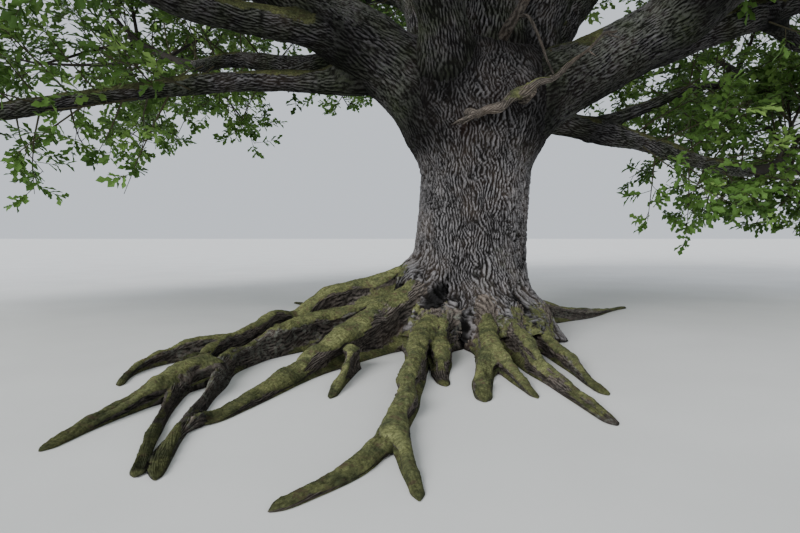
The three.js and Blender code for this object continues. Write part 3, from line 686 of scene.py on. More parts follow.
def barked(grid, plates, long, depth, salt, moss=None, twist=0.0, keep_flat=False, seam=None):
    """Bark relief pushed into fine rings; returns the rings, and for each point how high it stands
    and where it lies round and along the limb, counted in ridges."""
    cols = grid.shape[1]
    run = run_along(grid.mean(axis=1))[:, None]
    u = (np.arange(cols) / cols * plates)[None, :] + twist * run / long
    v = run / long + 0 * u
    # The ridges wander and are broken across; they differ in height and have a fine grain.
    u = u + 0.6 * noise(grid, long * 2.4, salt) + 0.3 * noise(grid, long * 0.7, salt + 1)
    v = v + 0.6 * noise(grid, long * 1.8, salt + 2)
    ridge = smooth((stripes(u, v, plates, salt + 3) + 0.70) / 1.0)
    breaks = np.abs(folds(u * 2, v * 2.1, plates * 2, salt + 4))
    ridge = ridge * mix(0.30, 1, smooth(breaks / 0.24))
    broad = folds(u * 2, v * 1.3, plates * 2, salt + 5)
    grain = noise(grid, 0.024, salt + 6)
    height = ridge * (0.80 + 0.26 * broad) + 0.14 * grain
    # Moss fills the furrows and stands up in cushions, and the bark is smoother at a join.
    cover = 0 if moss is None else 0.6 * moss
    push = (height - 0.72) * depth * (1 - cover)
    if seam is not None:
        push = push * (1 - 0.6 * seam)
    if moss is not None:
        push = push + moss * (0.007 + 0.006 * noise(grid, 0.08, salt + 7)
                              + 0.004 * noise(grid, 0.02, salt + 8))
    normals = facing(grid)
    if keep_flat:
        push = push * smooth(grid[..., 2] / 0.02)
    out = above_ground(grid + normals * push[..., None])
    return out, {"ridge": np.clip(height, 0, 1), "round": 2 * u, "along": v}


# Meshes

def mesh_piece(name, points, faces, materials, face_materials=None, values=None, uv=None,
               smooth_faces=True):
    """An object from arrays of points and of faces, all with the same number of corners or in lists."""
    faces = faces if isinstance(faces, list) else [faces]
    corners = np.concatenate([f.ravel() for f in faces]).astype(np.int32)
    totals = np.concatenate([np.full(len(f), f.shape[1]) for f in faces])
    starts = np.concatenate([[0], np.cumsum(totals)[:-1]]).astype(np.int32)
    mesh = bpy.data.meshes.new(name)
    mesh.vertices.add(len(points))
    mesh.vertices.foreach_set("co", np.ascontiguousarray(points, np.float32).ravel())
    mesh.loops.add(len(corners))
    mesh.loops.foreach_set("vertex_index", corners)
    mesh.polygons.add(len(totals))
    mesh.polygons.foreach_set("loop_start", starts)
    for material in materials:
        mesh.materials.append(material)
    if face_materials is not None:
        mesh.polygons.foreach_set("material_index", np.ascontiguousarray(face_materials, np.int32))
    mesh.polygons.foreach_set("use_smooth", np.full(len(totals), smooth_faces))
    for key, array in (values or {}).items():
        layer = mesh.attributes.new(key, "FLOAT", "POINT")
        layer.data.foreach_set("value", np.ascontiguousarray(array, np.float32).ravel())
    if uv is not None:
        layer = mesh.uv_layers.new(name="OFBake")
        layer.data.foreach_set("uv", np.ascontiguousarray(uv, np.float32).ravel())
    mesh.update(calc_edges=True)
    piece = bpy.data.objects.new(name, mesh)
    bpy.context.scene.collection.objects.link(piece)
    return piece


def skin_piece(name, skins, material):
    """One piece from several ringed skins; each skin is rings and a dict of values per point."""
    points, faces, fans, uvs, fan_uvs = [], [], [], [], []
    values = {key: [] for key in skins[0][1]}
    areas = np.array([s[0].shape[0] * s[0].shape[1] for s in skins], float)
    tops = np.cumsum(areas / areas.sum())
    start = 0
    for (grid, extra), high, share in zip(skins, tops, areas / areas.sum()):
        rows, cols = grid.shape[:2]
        k, i = np.meshgrid(np.arange(rows - 1), np.arange(cols), indexing="ij")
        j = (i + 1) % cols
        quads = np.stack([k * cols + i, k * cols + j, (k + 1) * cols + j, (k + 1) * cols + i], -1)
        faces.append(quads.reshape(-1, 4) + start)
        low, span = high - share * 0.98, share * 0.94
        u0, u1 = i / cols, (i + 1) / cols
        v0, v1 = low + span * k / rows, low + span * (k + 1) / rows
        uvs.append(np.stack([u0, v0, u1, v0, u1, v1, u0, v1], -1).reshape(-1, 2))
        ends = np.stack([grid[0].mean(axis=0), grid[-1].mean(axis=0)])
        points += [grid.reshape(-1, 3), ends]
        for key, array in extra.items():
            array = np.broadcast_to(array, (rows, cols))
            values[key] += [array.ravel(), [array[0].mean(), array[-1].mean()]]
        a = np.arange(cols)
        b = (a + 1) % cols
        c = np.full(cols, rows * cols)
        fans.append(np.stack([c, b, a], -1) + start)
        fans.append(np.stack([c + 1, a + (rows - 1) * cols, b + (rows - 1) * cols], -1) + start)
        edge = low + span * (rows - 1) / rows
        for flip in (0, 1):
            u = (a if flip else b) / cols
            w = (b if flip else a) / cols
            v = np.full(cols, edge + share * (0.005 + 0.01 * flip))
            fan_uvs.append(np.stack([u, v + share * 0.006, u, v, w, v], -1).reshape(-1, 2))
        start += rows * cols + 2
    joined = {key: np.concatenate([np.ravel(x) for x in parts]) for key, parts in values.items()}
    return mesh_piece(name, np.concatenate(points), [np.concatenate(faces), np.concatenate(fans)],
                      [material], values=joined, uv=np.concatenate(uvs + fan_uvs))


def seat(piece, node):
    """The piece rides on the tree's one body and stands for its frame node."""
    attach(piece, "root")
    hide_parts(node)
    return piece


# Materials

SHINE = 0.12
LICHEN_GREY = (0.185, 0.195, 0.165)
STAIN_BROWN = (0.060, 0.030, 0.021)
LITTER_BROWN = (0.075, 0.052, 0.034)
ALGAE_DARK, ALGAE_GREEN = (0.012, 0.015, 0.008), (0.088, 0.112, 0.050)


def node(tree, kind, inputs=None, **settings):
    """A shader node, its inputs linked or set, and its settings."""
    made = tree.nodes.new(kind)
    for key, value in settings.items():
        setattr(made, key, value)
    for key, value in (inputs or {}).items():
        if isinstance(value, bpy.types.NodeSocket):
            tree.links.new(value, made.inputs[key])
        else:
            made.inputs[key].default_value = value
    return made


def maths(tree, operation, a, b):
    """Two values, or a value and a number, added or multiplied."""
    return node(tree, "ShaderNodeMath", {0: a, 1: b}, operation=operation).outputs[0]


def ramp(tree, factor, stops):
    """A colour that goes from stop to stop as the factor grows."""
    made = node(tree, "ShaderNodeValToRGB", {"Fac": factor})
    elements = made.color_ramp.elements
    while len(elements) < len(stops):
        elements.new(0.5)
    for element, (place, colour) in zip(elements, stops):
        element.position = place
        element.color = colour
    return made.outputs["Color"]


def blend_colours(tree, factor, a, b, way="MIX"):
    """From colour a to colour b, or a tinted by b, as the factor goes from 0 to 1."""
    made = node(tree, "ShaderNodeMix", {0: factor, 6: a, 7: b}, data_type="RGBA", blend_type=way)
    return made.outputs[2]


def brightened(tree, colour, by):
    """A colour made brighter or darker by a value."""
    grey = node(tree, "ShaderNodeCombineColor", {0: by, 1: by, 2: by}).outputs[0]
    return blend_colours(tree, 1.0, colour, grey, "MULTIPLY")


def stretch(tree, value, low, high, to_low=0.0, to_high=1.0):
    """A value stretched from one range to another, and held to its ends."""
    return node(tree, "ShaderNodeMapRange",
                {0: value, 1: low, 2: high, 3: to_low, 4: to_high}).outputs[0]


def rgba(colour, scale=1.0):
    """A colour with full cover, made brighter by one factor or by one for each of its parts."""
    scale = scale if isinstance(scale, tuple) else (scale,) * 3
    return (*(part * by for part, by in zip(colour, scale)), 1)


def shader_base(name, roughness):
    """A material, its empty node tree and its surface shader, which hardly shines."""
    material = bpy.data.materials.new(name)
    material.use_nodes = True
    tree = material.node_tree
    tree.nodes.clear()
    surface = node(tree, "ShaderNodeBsdfPrincipled", {"Roughness": roughness})
    surface.inputs["Specular IOR Level"].default_value = SHINE
    node(tree, "ShaderNodeOutputMaterial", {"Surface": surface.outputs[0]})
    return material, tree, surface


def wood_material(name, furrow, ridge, moss, bump_depth=0.008, algae=0.0):
    """Bark or bare wood: furrows darkened partly by painted shade, pale ridge tops, lichen, moss and
    painted light.
    """
    material, tree, surface = shader_base(name, 0.9)
    place = node(tree, "ShaderNodeTexCoord").outputs["Object"]

    def spots(scale, detail=5.0):
        return node(tree, "ShaderNodeTexNoise", {"Vector": place, "Scale": scale, "Detail": detail,
                                                 "Roughness": 0.62}).outputs[0]

    def value(key):
        return node(tree, "ShaderNodeAttribute", attribute_name=key).outputs["Fac"]

    middle = [mix(a, b, 0.42) for a, b in zip(furrow, ridge)]
    flow = node(tree, "ShaderNodeCombineXYZ", {0: value("round"), 1: value("along")}).outputs[0]
    flow = node(tree, "ShaderNodeVectorMath", {0: flow, 1: (2.3, 2.2, 1.0)},
                operation="MULTIPLY").outputs[0]
    cracks = node(tree, "ShaderNodeTexNoise", {"Vector": flow, "Scale": 1.0, "Detail": 6.0,
                                               "Roughness": 0.74}).outputs[0]
    risen = stretch(tree, value("ridge"), 0.0, 1.0, 0.05, 0.90)
    height = maths(tree, "ADD", risen, stretch(tree, cracks, 0.25, 0.75, -0.50, 0.46))
    # The near-black furrows are partly painted shade, and the brightest ridge tops partly a painted
    # highlight.
    bark = ramp(tree, height, [(0.17, rgba(furrow)), (0.38, rgba(middle, 0.72)),
                               (0.60, rgba(ridge, 0.85)), (0.98, rgba(ridge, 1.42))])
    # Broad and fine changes of brightness, and warmer patches
    broad = stretch(tree, spots(1.3, 3.0), 0.3, 0.7, 0.72, 1.22)
    fine = stretch(tree, spots(42.0, 8.0), 0.25, 0.75, 0.66, 1.26)
    bark = brightened(tree, bark, maths(tree, "MULTIPLY", broad, fine))
    warm = stretch(tree, spots(2.6, 4.0), 0.45, 0.75, 0.0, 0.24)
    bark = blend_colours(tree, warm, bark, rgba(ridge, (1.05, 0.82, 0.62)))
    if algae:
        damp = stretch(tree, spots(1.9, 6.0), 0.42, 0.66, 0.0, algae)
        slime = blend_colours(tree, stretch(tree, height, 0.1, 0.9), rgba(ALGAE_DARK),
                              rgba(ALGAE_GREEN))
        bark = blend_colours(tree, damp, bark, slime)
    dots = stretch(tree, spots(15.0, 7.0), 0.50, 0.66, 0.0, 0.85)
    bark = blend_colours(tree, maths(tree, "MULTIPLY", value("lichen"), dots), bark,
                         rgba(LICHEN_GREY))
    bark = blend_colours(tree, value("stain"), bark, rgba(STAIN_BROWN))
    # Moss with a ragged edge, in tufts and clumps, with a little leaf litter
    tuft = spots(150.0, 4.0)
    edge = stretch(tree, spots(17.0, 8.0), 0.3, 0.7, -0.46, 0.40)
    cover = stretch(tree, maths(tree, "ADD", value("moss"), edge), 0.34, 0.62)
    green = blend_colours(tree, stretch(tree, spots(5.0, 6.0), 0.36, 0.64), rgba(moss, 0.42),
                          rgba(moss, (1.34, 1.22, 1.05)))
    green = blend_colours(tree, stretch(tree, tuft, 0.38, 0.66, 0.0, 0.6), green, rgba(moss, 0.28))
    green = brightened(tree, green, stretch(tree, spots(36.0, 5.0), 0.32, 0.68, 0.42, 1.5))
    litter = stretch(tree, spots(13.0, 7.0), 0.55, 0.66, 0.0, 0.75)
    green = blend_colours(tree, litter, green, rgba(LITTER_BROWN))
    # Painted shade and light: the shade value darkens or lightens bark and moss alike.
    colour = brightened(tree, blend_colours(tree, cover, bark, green), value("shade"))
    tree.links.new(colour, surface.inputs["Base Color"])
    rough = node(tree, "ShaderNodeBump", {"Strength": 0.7, "Distance": bump_depth,
                                          "Height": spots(58.0, 9.0)})
    soft = node(tree, "ShaderNodeBump", {"Strength": 0.6, "Distance": bump_depth * 0.7,
                                         "Height": tuft, "Normal": rough.outputs[0]})
    tree.links.new(soft.outputs[0], surface.inputs["Normal"])
    return material


def plain_material(name, colour, roughness):
    """A material of one colour, for twigs and leaves."""
    material, _, surface = shader_base(name, roughness)
    surface.inputs["Base Color"].default_value = rgba(colour)
    material.diffuse_color = rgba(colour)
    return material


# Values spread over the limbs

# How far moss is swayed by its patches rather than by the slope, and how soft its edge is
MOSS_PATCHES, MOSS_EDGE = 0.92, 0.50
# Heading of the mossiest side of the foot, and how wide it is, in degrees
MOSSY_SIDE, MOSSY_WIDTH = 203, 34
# The side of a bough that gets painted light, as if lit from there, and how much painted shade darkens a
# crease
PAINTED_LIGHT_SIDE = unit([-0.45, -0.25, 0.85])
CREASE_SHADE = 0.80


def moss_on(grid, cover):
    """How mossy each point is: upward faces first, in patches."""
    up = facing(grid)[..., 2]
    patch = layered(grid, 0.5, 17, 4)
    return smooth((up + MOSS_PATCHES * patch - (1.08 - 1.05 * cover)) / MOSS_EDGE)


def lichen_on(grid, amount, salt):
    """How much lichen each point bears, in broad patches."""
    return smooth((layered(grid, 0.8, salt, 3) + amount) / 0.5)


def shade_on(grid, seam):
    """Painted shade and light on bark: darker from the fork upwards (partly darker bark, partly shade
    under the crown), darkest in the fork's core and the creases between limbs, lighter on the side facing
    up, left and front.
    """
    out = np.hypot(grid[..., 0] - 0.2, grid[..., 1])
    # Darker from the fork upwards, partly a darker bark and partly painted shade under the crown, with
    # painted shade deepest in the fork's core
    high = smooth((grid[..., 2] - 2.2) / 1.0)
    fork = smooth((grid[..., 2] - 2.5) / 0.8) * smooth((2.2 - out) / 1.4)
    # Painted light and shade: lighter on the side that faces up, left and front, darker on the other
    painted_light = mix(0.58, 1.50, smooth((facing(grid) @ PAINTED_LIGHT_SIDE + 0.85) / 1.7))
    shade = mix(1, 0.66 * painted_light, high) * (1 - 0.10 * fork)
    # Painted shade in the creases between limbs
    return shade * (1 - CREASE_SHADE * seam * smooth((grid[..., 2] - 1.5) / 1))


def root_gap(grid):
    """Distance from each point to the nearest root that leaves the trunk."""
    p = grid.reshape(-1, 3)
    gap = np.full(len(p), 1e3)
    for name, field, *_ in FIELDS:
        if name.startswith("root_"):
            gap = np.minimum(gap, field(p))
    return gap.reshape(grid.shape[:2])


def foot_cover(grid):
    """Moss cover near the foot of the trunk, where the roots and the trunk share one growth."""
    z = grid[..., 2]
    angle = np.degrees(np.arctan2(grid[..., 1], grid[..., 0])) % 360
    left = np.exp(-((angle - MOSSY_SIDE) / MOSSY_WIDTH) ** 2)
    return (0.58 + 0.42 * left) * smooth((0.66 + 0.6 * left - z) / 0.5)


def bark_skin(name, points, radii, wood, near, salt, cover):
    """The barked skin of one bough from its line and radii."""
    count = max(24, int(run_along(points)[-1] / BOUGH_RING))
    at = np.linspace(0, 1, count)
    line = spline(points, at)
    line[:, 2] += ARCHED.get(name, 0) * np.sin(math.pi * at ** 0.8) * smooth(at / 0.25)
    line, thick = rounded_start(line, spline(radii, at))
    grid = tube_rings(line, thick, THICK_COLS if radii[0] > 0.3 else THIN_COLS)
    grid = grid[visible_rows(name, grid):]
    grid = lumps(grid, 0.55, 0.055 * min(1.0, radii[0] / 0.35), salt)
    grid, seam = blended(name, grid, 0.5)
    plates = max(5, int(round(FULL_TURN * radii[0] * BOUGH_PAIRS / wood.ridge_spacing)))
    step, per = BOUGH_MESH if near else HIDDEN_MESH
    rows, cols = int(run_along(grid.mean(axis=1))[-1] / step), int(plates * per)
    fine, seam = finer(grid, rows, cols), finer_value(seam, rows, cols)
    moss = moss_on(fine, mix(*cover, np.linspace(0, 1, rows)[:, None]))
    depth = wood.bough_relief * min(1.3, 0.5 + radii[0] * 1.2)
    out, values = barked(fine, plates, wood.ridge_length * 1.25, depth, salt, moss, 0.6, seam=seam)
    # Boughs get a stronger ridge contrast, deepening the painted shade in their furrows and the painted
    # highlight on their ridge tops, and painted shade and light from shade_on.
    values["ridge"] = np.clip(0.5 + 1.25 * (values["ridge"] - 0.5), 0, 1)
    # Lichen patches; on bough_right_rising they also serve as painted light.
    values.update(moss=moss, lichen=lichen_on(fine, LICHEN_AND_LIT_BAND.get(name, LITTLE_LICHEN), salt + 20),
                  shade=shade_on(fine, seam))
    return out, values


# Growth of a mass: the rule of the solids, carried on to finer twigs

MIDDLES = np.array([s["middle"] for s in BOUGHS])
REACHES = np.array([s["reach"] for s in BOUGHS])
SEGMENT_STARTS = np.concatenate([p[:-1] for p, _ in PATHS.values()])
SEGMENT_STEPS = np.concatenate([np.diff(p, axis=0) for p, _ in PATHS.values()])
SEGMENT_RADII = np.concatenate([np.stack([r[:-1], r[1:]], 1) for _, r in PATHS.values()])


def clearance(p):
    """Distance from points to the skin of the boughs."""
    rel = p[:, None] - SEGMENT_STARTS
    t = np.clip((rel * SEGMENT_STEPS).sum(-1) / (SEGMENT_STEPS ** 2).sum(-1), 0, 1)
    gap = np.linalg.norm(rel - t[..., None] * SEGMENT_STEPS, axis=-1)
    return (gap - mix(SEGMENT_RADII[:, 0], SEGMENT_RADII[:, 1], t)).min(axis=1)


def shares(p, k):
    """How far points are from mass k's middle, and from the nearest other's, in reaches."""
    far = np.linalg.norm((p[..., None, :] - MIDDLES) / REACHES, axis=-1)
    own = far[..., k].copy()
    far[..., k] = 1e9
    return own, far.min(axis=-1)


def owned(p, k, limit=1.0, margin=GROWTH["margin"]):
    """Whether points lie in mass k's space and nearer to its middle than to any other's."""
    own, other = shares(p, k)
    return (own <= limit) & (other > own + margin / REACHES[k].min())


def fits(points, k, room):
    """Whether all points lie in mass k's space, with that much room to the boughs."""
    p = np.array(points)
    return bool(owned(p, k).all() and (clearance(p) > room).all())


def spray_points(foot, way, reach, normal, length):
    """The corner points of a twig's end and of the spray that opens from it."""
    side = unit(np.cross(way, normal))
    up = np.cross(side, way)
    half, deep = length * GROWTH["spray_wide"] / 2, length * GROWTH["spray_thick"] / 2
    heart = reach + length * 0.4
    places = [(reach, -GROWTH["twig_thin"] * math.cos(math.radians(a)),
               GROWTH["twig_thin"] * math.sin(math.radians(a))) for a in (90, 210, 330)]
    places += [(heart, 0, deep), (heart, half, 0), (heart, 0, -deep), (heart, -half, 0),
               (reach + length, 0, 0)]
    return [foot + way * x + side * y + up * z for x, y, z in places]


def stem_line(k):
    """The stem of mass k: it leaves the end of its bough and curves up through the space."""
    s = BOUGHS[k]
    points, _ = PATHS[s["name"]]
    tip, way = points[-1], unit(points[-1] - points[-2])
    start = tip + way * GROWTH["clearance"]
    across = np.array(s["middle"]) - start
    goal = np.array(s["middle"]) + [across[0] * 0.35, across[1] * 0.35, s["reach"][2] * 0.3]
    line = []
    for step in range(GROWTH["stem_steps"] + 1):
        t = step / GROWTH["stem_steps"]
        bent = start + way * (np.linalg.norm(across) * 0.7 * t)
        line.append(mix(bent, goal, t * t * (2 - t)))
    t = np.linspace(0, 1, GROWTH["stem_steps"] + 1)
    return np.array(line), mix(s["thin"], GROWTH["stem_thin"], t ** 0.8)


def main_twigs(k):
    """Foot, heading and length of each twig that the solid of mass k has."""
    s = BOUGHS[k]
    draw = seeded(s["seed"] + 1000)
    line, _ = stem_line(k)
    twigs = []
    for i in range(GROWTH["twigs"]):
        q = mix(0.2, 0.97, (i + 0.5) / GROWTH["twigs"]) * GROWTH["stem_steps"]
        j = min(int(q), GROWTH["stem_steps"] - 1)
        foot = line[j] + (line[j + 1] - line[j]) * (q - j)
        ahead = unit(line[j + 1] - line[j])
        turn = math.radians(GROWTH["golden"] * i + 40 * draw())
        across = unit(np.cross(ahead, [0.3, 0.2, 1]))
        out = across * math.cos(turn) + np.cross(ahead, across) * math.sin(turn)
        heading = unit(out + ahead * mix(0.25, 0.75, draw()))
        steps = foot + heading * (np.arange(1, 68) * 0.06)[:, None]
        inside = owned(steps, k)
        length = 0.06 * (len(inside) if inside.all() else int(np.argmin(inside)))
        leaf = min(GROWTH["spray"] * mix(0.85, 1.1, draw()), length * 0.6)
        level = unit(np.array([0, 0, 1]) + np.array([draw() - 0.5, draw() - 0.5, 0]) * GROWTH["tilt"])
        draw()
        for share in (1, 0.85, 0.7):
            reach, size = length * share - leaf * share, leaf * share
            marks = [foot + heading * (reach * t) for t in (0.3, 0.6, 0.85, 1)]
            if (reach > 0.35 and fits(marks, k, 0.09)
                    and fits(spray_points(foot, heading, reach, level, size), k, 0.06)):
                twigs.append((foot, heading, reach + size))
                break
    return twigs


def beside(lines, k):
    """Whether points lie close round the leafy end of the mass's own bough, and in no other mass."""
    points, _ = PATHS[BOUGHS[k]["name"]]
    wood = spline(points, np.linspace(LEAFY_FROM, 1, 7))
    gap = np.linalg.norm(lines[..., None, :] - wood, axis=-1).min(axis=-1)
    _, other = shares(lines, k)
    return (gap < BESIDE) & (other > 1.0)


def in_frame(p, room):
    """Whether points lie in the frame's box, or that little outside it."""
    return (p > LOWEST - room).all(-1) & (p < HIGHEST + room).all(-1)


def inside_share(lines, k, limit):
    """How much of each line stays in the mass's own space and in the frame's box.

    The space ends at the mass's own reach on the crown's outside, and further off on its inside."""
    outside = (lines - MIDDLES[k]) @ unit(MIDDLES[k] - [0.2, 0, 5]) / REACHES[k].mean()
    limit = mix(1.04, limit, smooth((0.25 - outside) / 0.7))
    good = owned(lines, k, limit, 0.05) | beside(lines, k)
    good &= in_frame(lines, 0.05)
    run = np.cumprod(good, axis=1).sum(axis=1)
    return run / lines.shape[1]


def grown_lines(rng, feet, ways, lengths, k, kind):
    """Lines that grow from feet, curve up to the light and stop at the edge of the space."""
    t = np.linspace(0, 1, 9)[None, :, None]
    rise = np.array([0, 0, 1.0]) * kind["rise"]
    sway = rng.normal(0, 0.12, (len(feet), 1, 3))
    lines = feet[:, None] + lengths[:, None, None] * (ways[:, None] * t + (rise + sway) * t * t)
    share = inside_share(lines, k, kind["limit"])
    keep = share > 0.3
    at = np.linspace(0, 1, kind["steps"])[None, :, None] * share[keep, None, None]
    feet, ways, lengths, sway = feet[keep], ways[keep], lengths[keep], sway[keep]
    return feet[:, None] + lengths[:, None, None] * (ways[:, None] * at + (rise + sway) * at * at)


def around_lines(rng, lines, per, low, high, lean):
    """Feet, headings and places of shoots set round lines by the golden angle."""
    n, m = lines.shape[:2]
    t = low + (high - low) * (np.arange(per) + rng.uniform(0.1, 0.9, (n, per))) / per
    q = np.clip(t * (m - 1), 0, m - 1.001)
    j = q.astype(int)
    f = (q - j)[..., None]
    rows = np.arange(n)[:, None]
    feet = lines[rows, j] * (1 - f) + lines[rows, j + 1] * f
    ahead = unit(lines[rows, j + 1] - lines[rows, j])
    turn = math.radians(GROWTH["golden"]) * np.arange(per) + rng.uniform(0, 6.28, (n, 1))
    turn = (turn + rng.normal(0, 0.3, (n, per)))[..., None]
    across = unit(np.cross(ahead, [0.3, 0.2, 1.0]))
    out = across * np.cos(turn) + np.cross(ahead, across) * np.sin(turn)
    ways = unit(out + ahead * (lean + rng.uniform(-0.2, 0.3, (n, per, 1))) + [0, 0, 0.12])
    return feet.reshape(-1, 3), ways.reshape(-1, 3), t.ravel()


def tubes(lines, radii, sides):
    """Points and faces of many tapered tubes at once, each closed by a point at its end."""
    n, m = lines.shape[:2]
    ways = unit(np.gradient(lines, axis=1))
    ref = np.where(np.abs(ways[:, :1, 2:]) > 0.9, [[[1.0, 0, 0]]], [[[0, 0, 1.0]]])
    side = unit(np.cross(ways, ref))
    up = np.cross(side, ways)
    a = np.arange(sides) / sides * FULL_TURN
    ring = (side[:, :, None] * np.cos(a)[None, None, :, None]
            - up[:, :, None] * np.sin(a)[None, None, :, None])
    points = (lines[:, :, None] + ring * radii[:, :, None, None]).reshape(n, -1, 3)
    points = np.concatenate([points, lines[:, -1:] + ways[:, -1:] * radii[:, -1:, None]], axis=1)
    k, i = np.meshgrid(np.arange(m - 1), np.arange(sides), indexing="ij")
    j = (i + 1) % sides
    quads = np.stack([k * sides + i, k * sides + j, (k + 1) * sides + j, (k + 1) * sides + i], -1)
    quads = quads.reshape(-1, 4)
    faces = np.concatenate([quads[:, [0, 1, 2]], quads[:, [0, 2, 3]]])
    b = np.arange(sides)
    tip = np.stack([(m - 1) * sides + b, (m - 1) * sides + (b + 1) % sides,
                    np.full(sides, m * sides)], -1)
    faces = np.concatenate([faces, tip])
    faces = faces[None] + (np.arange(n) * points.shape[1])[:, None, None]
    return points.reshape(-1, 3), faces.reshape(-1, 3)


# Half of a leaf's lobes stand on each side of its middle rib; x runs from its foot to its tip.
LEAF_POINTS = np.array([
    (0, 0, 0), (1, 0, -0.10),
    (0.28, 0.20, 0.05), (0.46, 0.11, 0.01), (0.70, 0.27, 0.03),
    (0.28, -0.20, 0.05), (0.46, -0.11, 0.01), (0.70, -0.27, 0.03),
])
LEAF_FACES = np.array([(0, 3, 2), (0, 1, 3), (3, 1, 4), (0, 5, 6), (0, 6, 1), (6, 7, 1)])


def leaf_mesh(feet, ways, normals, lengths):
    """Points and faces of many leaves at once."""
    side = unit(np.cross(normals, ways))
    up = np.cross(ways, side)
    p = LEAF_POINTS
    points = (feet[:, None] + lengths[:, None, None]
              * (ways[:, None] * p[None, :, :1] + side[:, None] * p[None, :, 1:2]
                 + up[:, None] * p[None, :, 2:3]))
    faces = LEAF_FACES[None] + (np.arange(len(feet)) * len(p))[:, None, None]
    return points.reshape(-1, 3), faces.reshape(-1, 3)


# Where along a bough its leafy twigs begin, and how far they stand out from it, in metres
LEAFY_FROM = 0.42
BESIDE = 1.5
# For side twigs and for shoots: how far past the mass's space they may reach, how much they rise,
# how many points they have, and their radius at foot and tip
SIDE_TWIG = dict(limit=1.35, rise=0.10, steps=4, thick=0.017, thin=0.005)
SHOOT = dict(limit=1.42, rise=0.15, steps=3, thick=0.0065, thin=0.003)
# Where on a line its shoots begin and end, as shares of it, and how far they lean along it
SIDE_SPAN, BOUGH_SPAN = (0.2, 0.99, 0.7), (0.0, 1.0, 0.5)
SHOOT_SPAN, LEAF_SPAN = (0.25, 1.0, 0.9), (0.3, 1.0, 0.8)
# How a leaf lies: tilted outwards, at random, turned level along its spray, and hanging
LEAF_OUTWARD, LEAF_RANDOM, LEAF_LEVEL, LEAF_HANG = 0.55, 0.42, 0.55, 0.12
# Which green a spray has, from 0 to 4: the middle one, how far patches sway it, and chance
TONE_MIDDLE, TONE_PATCH, TONE_RANDOM = 1.8, 1.3, 0.9
# Material slots of a mass's twigs
STEM_BARK, SHOOT_BARK = 0, 1
TONES = 5
# Radius of a main twig at its tip
MAIN_THIN = 0.012
GROWN = {}


def twig_part(lines, radii, sides, slot):
    """Tubes along lines that taper alike, and their material slot."""
    return tubes(lines, radii[None] * np.ones((len(lines), 1)), sides) + (slot,)


def fine_part(lines, kind):
    """Thin three-sided twigs along lines."""
    return twig_part(lines, np.linspace(kind["thick"], kind["thin"], kind["steps"]), 3, SHOOT_BARK)


def grow_mass(k, crown):
    """Twigs and leaves of mass k, as arrays, kept so that both pieces have the same ones."""
    key = (k, crown.side_twigs, crown.side_length, crown.bough_twigs, crown.shoots,
           crown.shoot_length, crown.leaves, crown.leaf_length)
    if key in GROWN:
        return GROWN[key]
    s = BOUGHS[k]
    rng = np.random.default_rng(s["seed"] * 7 + 5)
    stem, stem_radii = stem_line(k)
    at = np.linspace(0, 1, 10)
    parts = [twig_part(spline(stem, at)[None], spline(stem_radii, at), 8, STEM_BARK)]
    mains = main_twigs(k)
    feet = np.array([m[0] for m in mains])
    ways = np.array([m[1] for m in mains])
    lengths = np.array([m[2] for m in mains])
    t = np.linspace(0, 1, 7)
    wave = np.sin(t * math.pi)[None, :, None] * rng.normal(0, 0.035, (len(feet), 1, 3))
    wave = wave + np.sin(t * FULL_TURN)[None, :, None] * rng.normal(0, 0.03, (len(feet), 1, 3))
    lines = feet[:, None] + lengths[:, None, None] * (ways[:, None] * t[None, :, None] + wave)
    parts.append(twig_part(lines, mix(GROWTH["twig_thick"], MAIN_THIN, t), 5, STEM_BARK))
    # The end of the stem bears side twigs as a main twig does.
    lines = np.concatenate([lines, spline(stem, np.linspace(0.1, 1, 7))[None]])
    feet, ways, place = around_lines(rng, lines, crown.side_twigs, *SIDE_SPAN)
    size = crown.side_length * (1.12 - 0.5 * place) * rng.uniform(0.7, 1.2, len(feet))
    # The outer part of the bough bears side twigs too, where the crown would show gaps.
    bare = spline(PATHS[s["name"]][0], np.linspace(LEAFY_FROM, 1, 9))[None]
    count = int(crown.bough_twigs * s["length"])
    low_feet, low_ways, _ = around_lines(rng, bare, count, *BOUGH_SPAN)
    feet, ways = np.concatenate([feet, low_feet]), np.concatenate([ways, low_ways])
    size = np.concatenate([size, crown.side_length * 1.1 * rng.uniform(0.7, 1.25, len(low_feet))])
    lines = grown_lines(rng, feet, ways, size, k, SIDE_TWIG)
    parts.append(fine_part(lines, SIDE_TWIG))
    feet, ways, _ = around_lines(rng, lines, crown.shoots, *SHOOT_SPAN)
    size = crown.shoot_length * rng.uniform(0.65, 1.25, len(feet))
    lines = grown_lines(rng, feet, ways, size, k, SHOOT)
    parts.append(fine_part(lines, SHOOT))
    feet, out, _ = around_lines(rng, lines, crown.leaves, *LEAF_SPAN)
    outward = unit((feet - MIDDLES[k]) / REACHES[k])
    normals = unit(np.array([0, 0, 1.0]) + LEAF_OUTWARD * outward
                   + rng.normal(0, LEAF_RANDOM, feet.shape))
    flat = out - LEAF_LEVEL * normals * (out * normals).sum(-1, keepdims=True)
    ways = unit(flat + [0, 0, -LEAF_HANG])
    size = crown.leaf_length * rng.uniform(0.72, 1.15, len(feet))
    spray = np.repeat(np.arange(len(lines)), crown.leaves)
    good = in_frame(feet + ways * size[:, None], 0.02) & (clearance(feet) > 0.02)
    feet, ways, normals, size, spray = (x[good] for x in (feet, ways, normals, size, spray))
    points, faces = leaf_mesh(feet, ways, normals, size)
    tone = TONE_MIDDLE + TONE_PATCH * noise(lines[:, 0], 1.3, 5)
    tone = tone + rng.normal(0, TONE_RANDOM, len(lines))
    tone = np.clip(np.round(tone), 0, TONES - 1).astype(int)
    GROWN[key] = (parts, (points, faces, np.repeat(tone[spray], len(LEAF_FACES))))
    return GROWN[key]


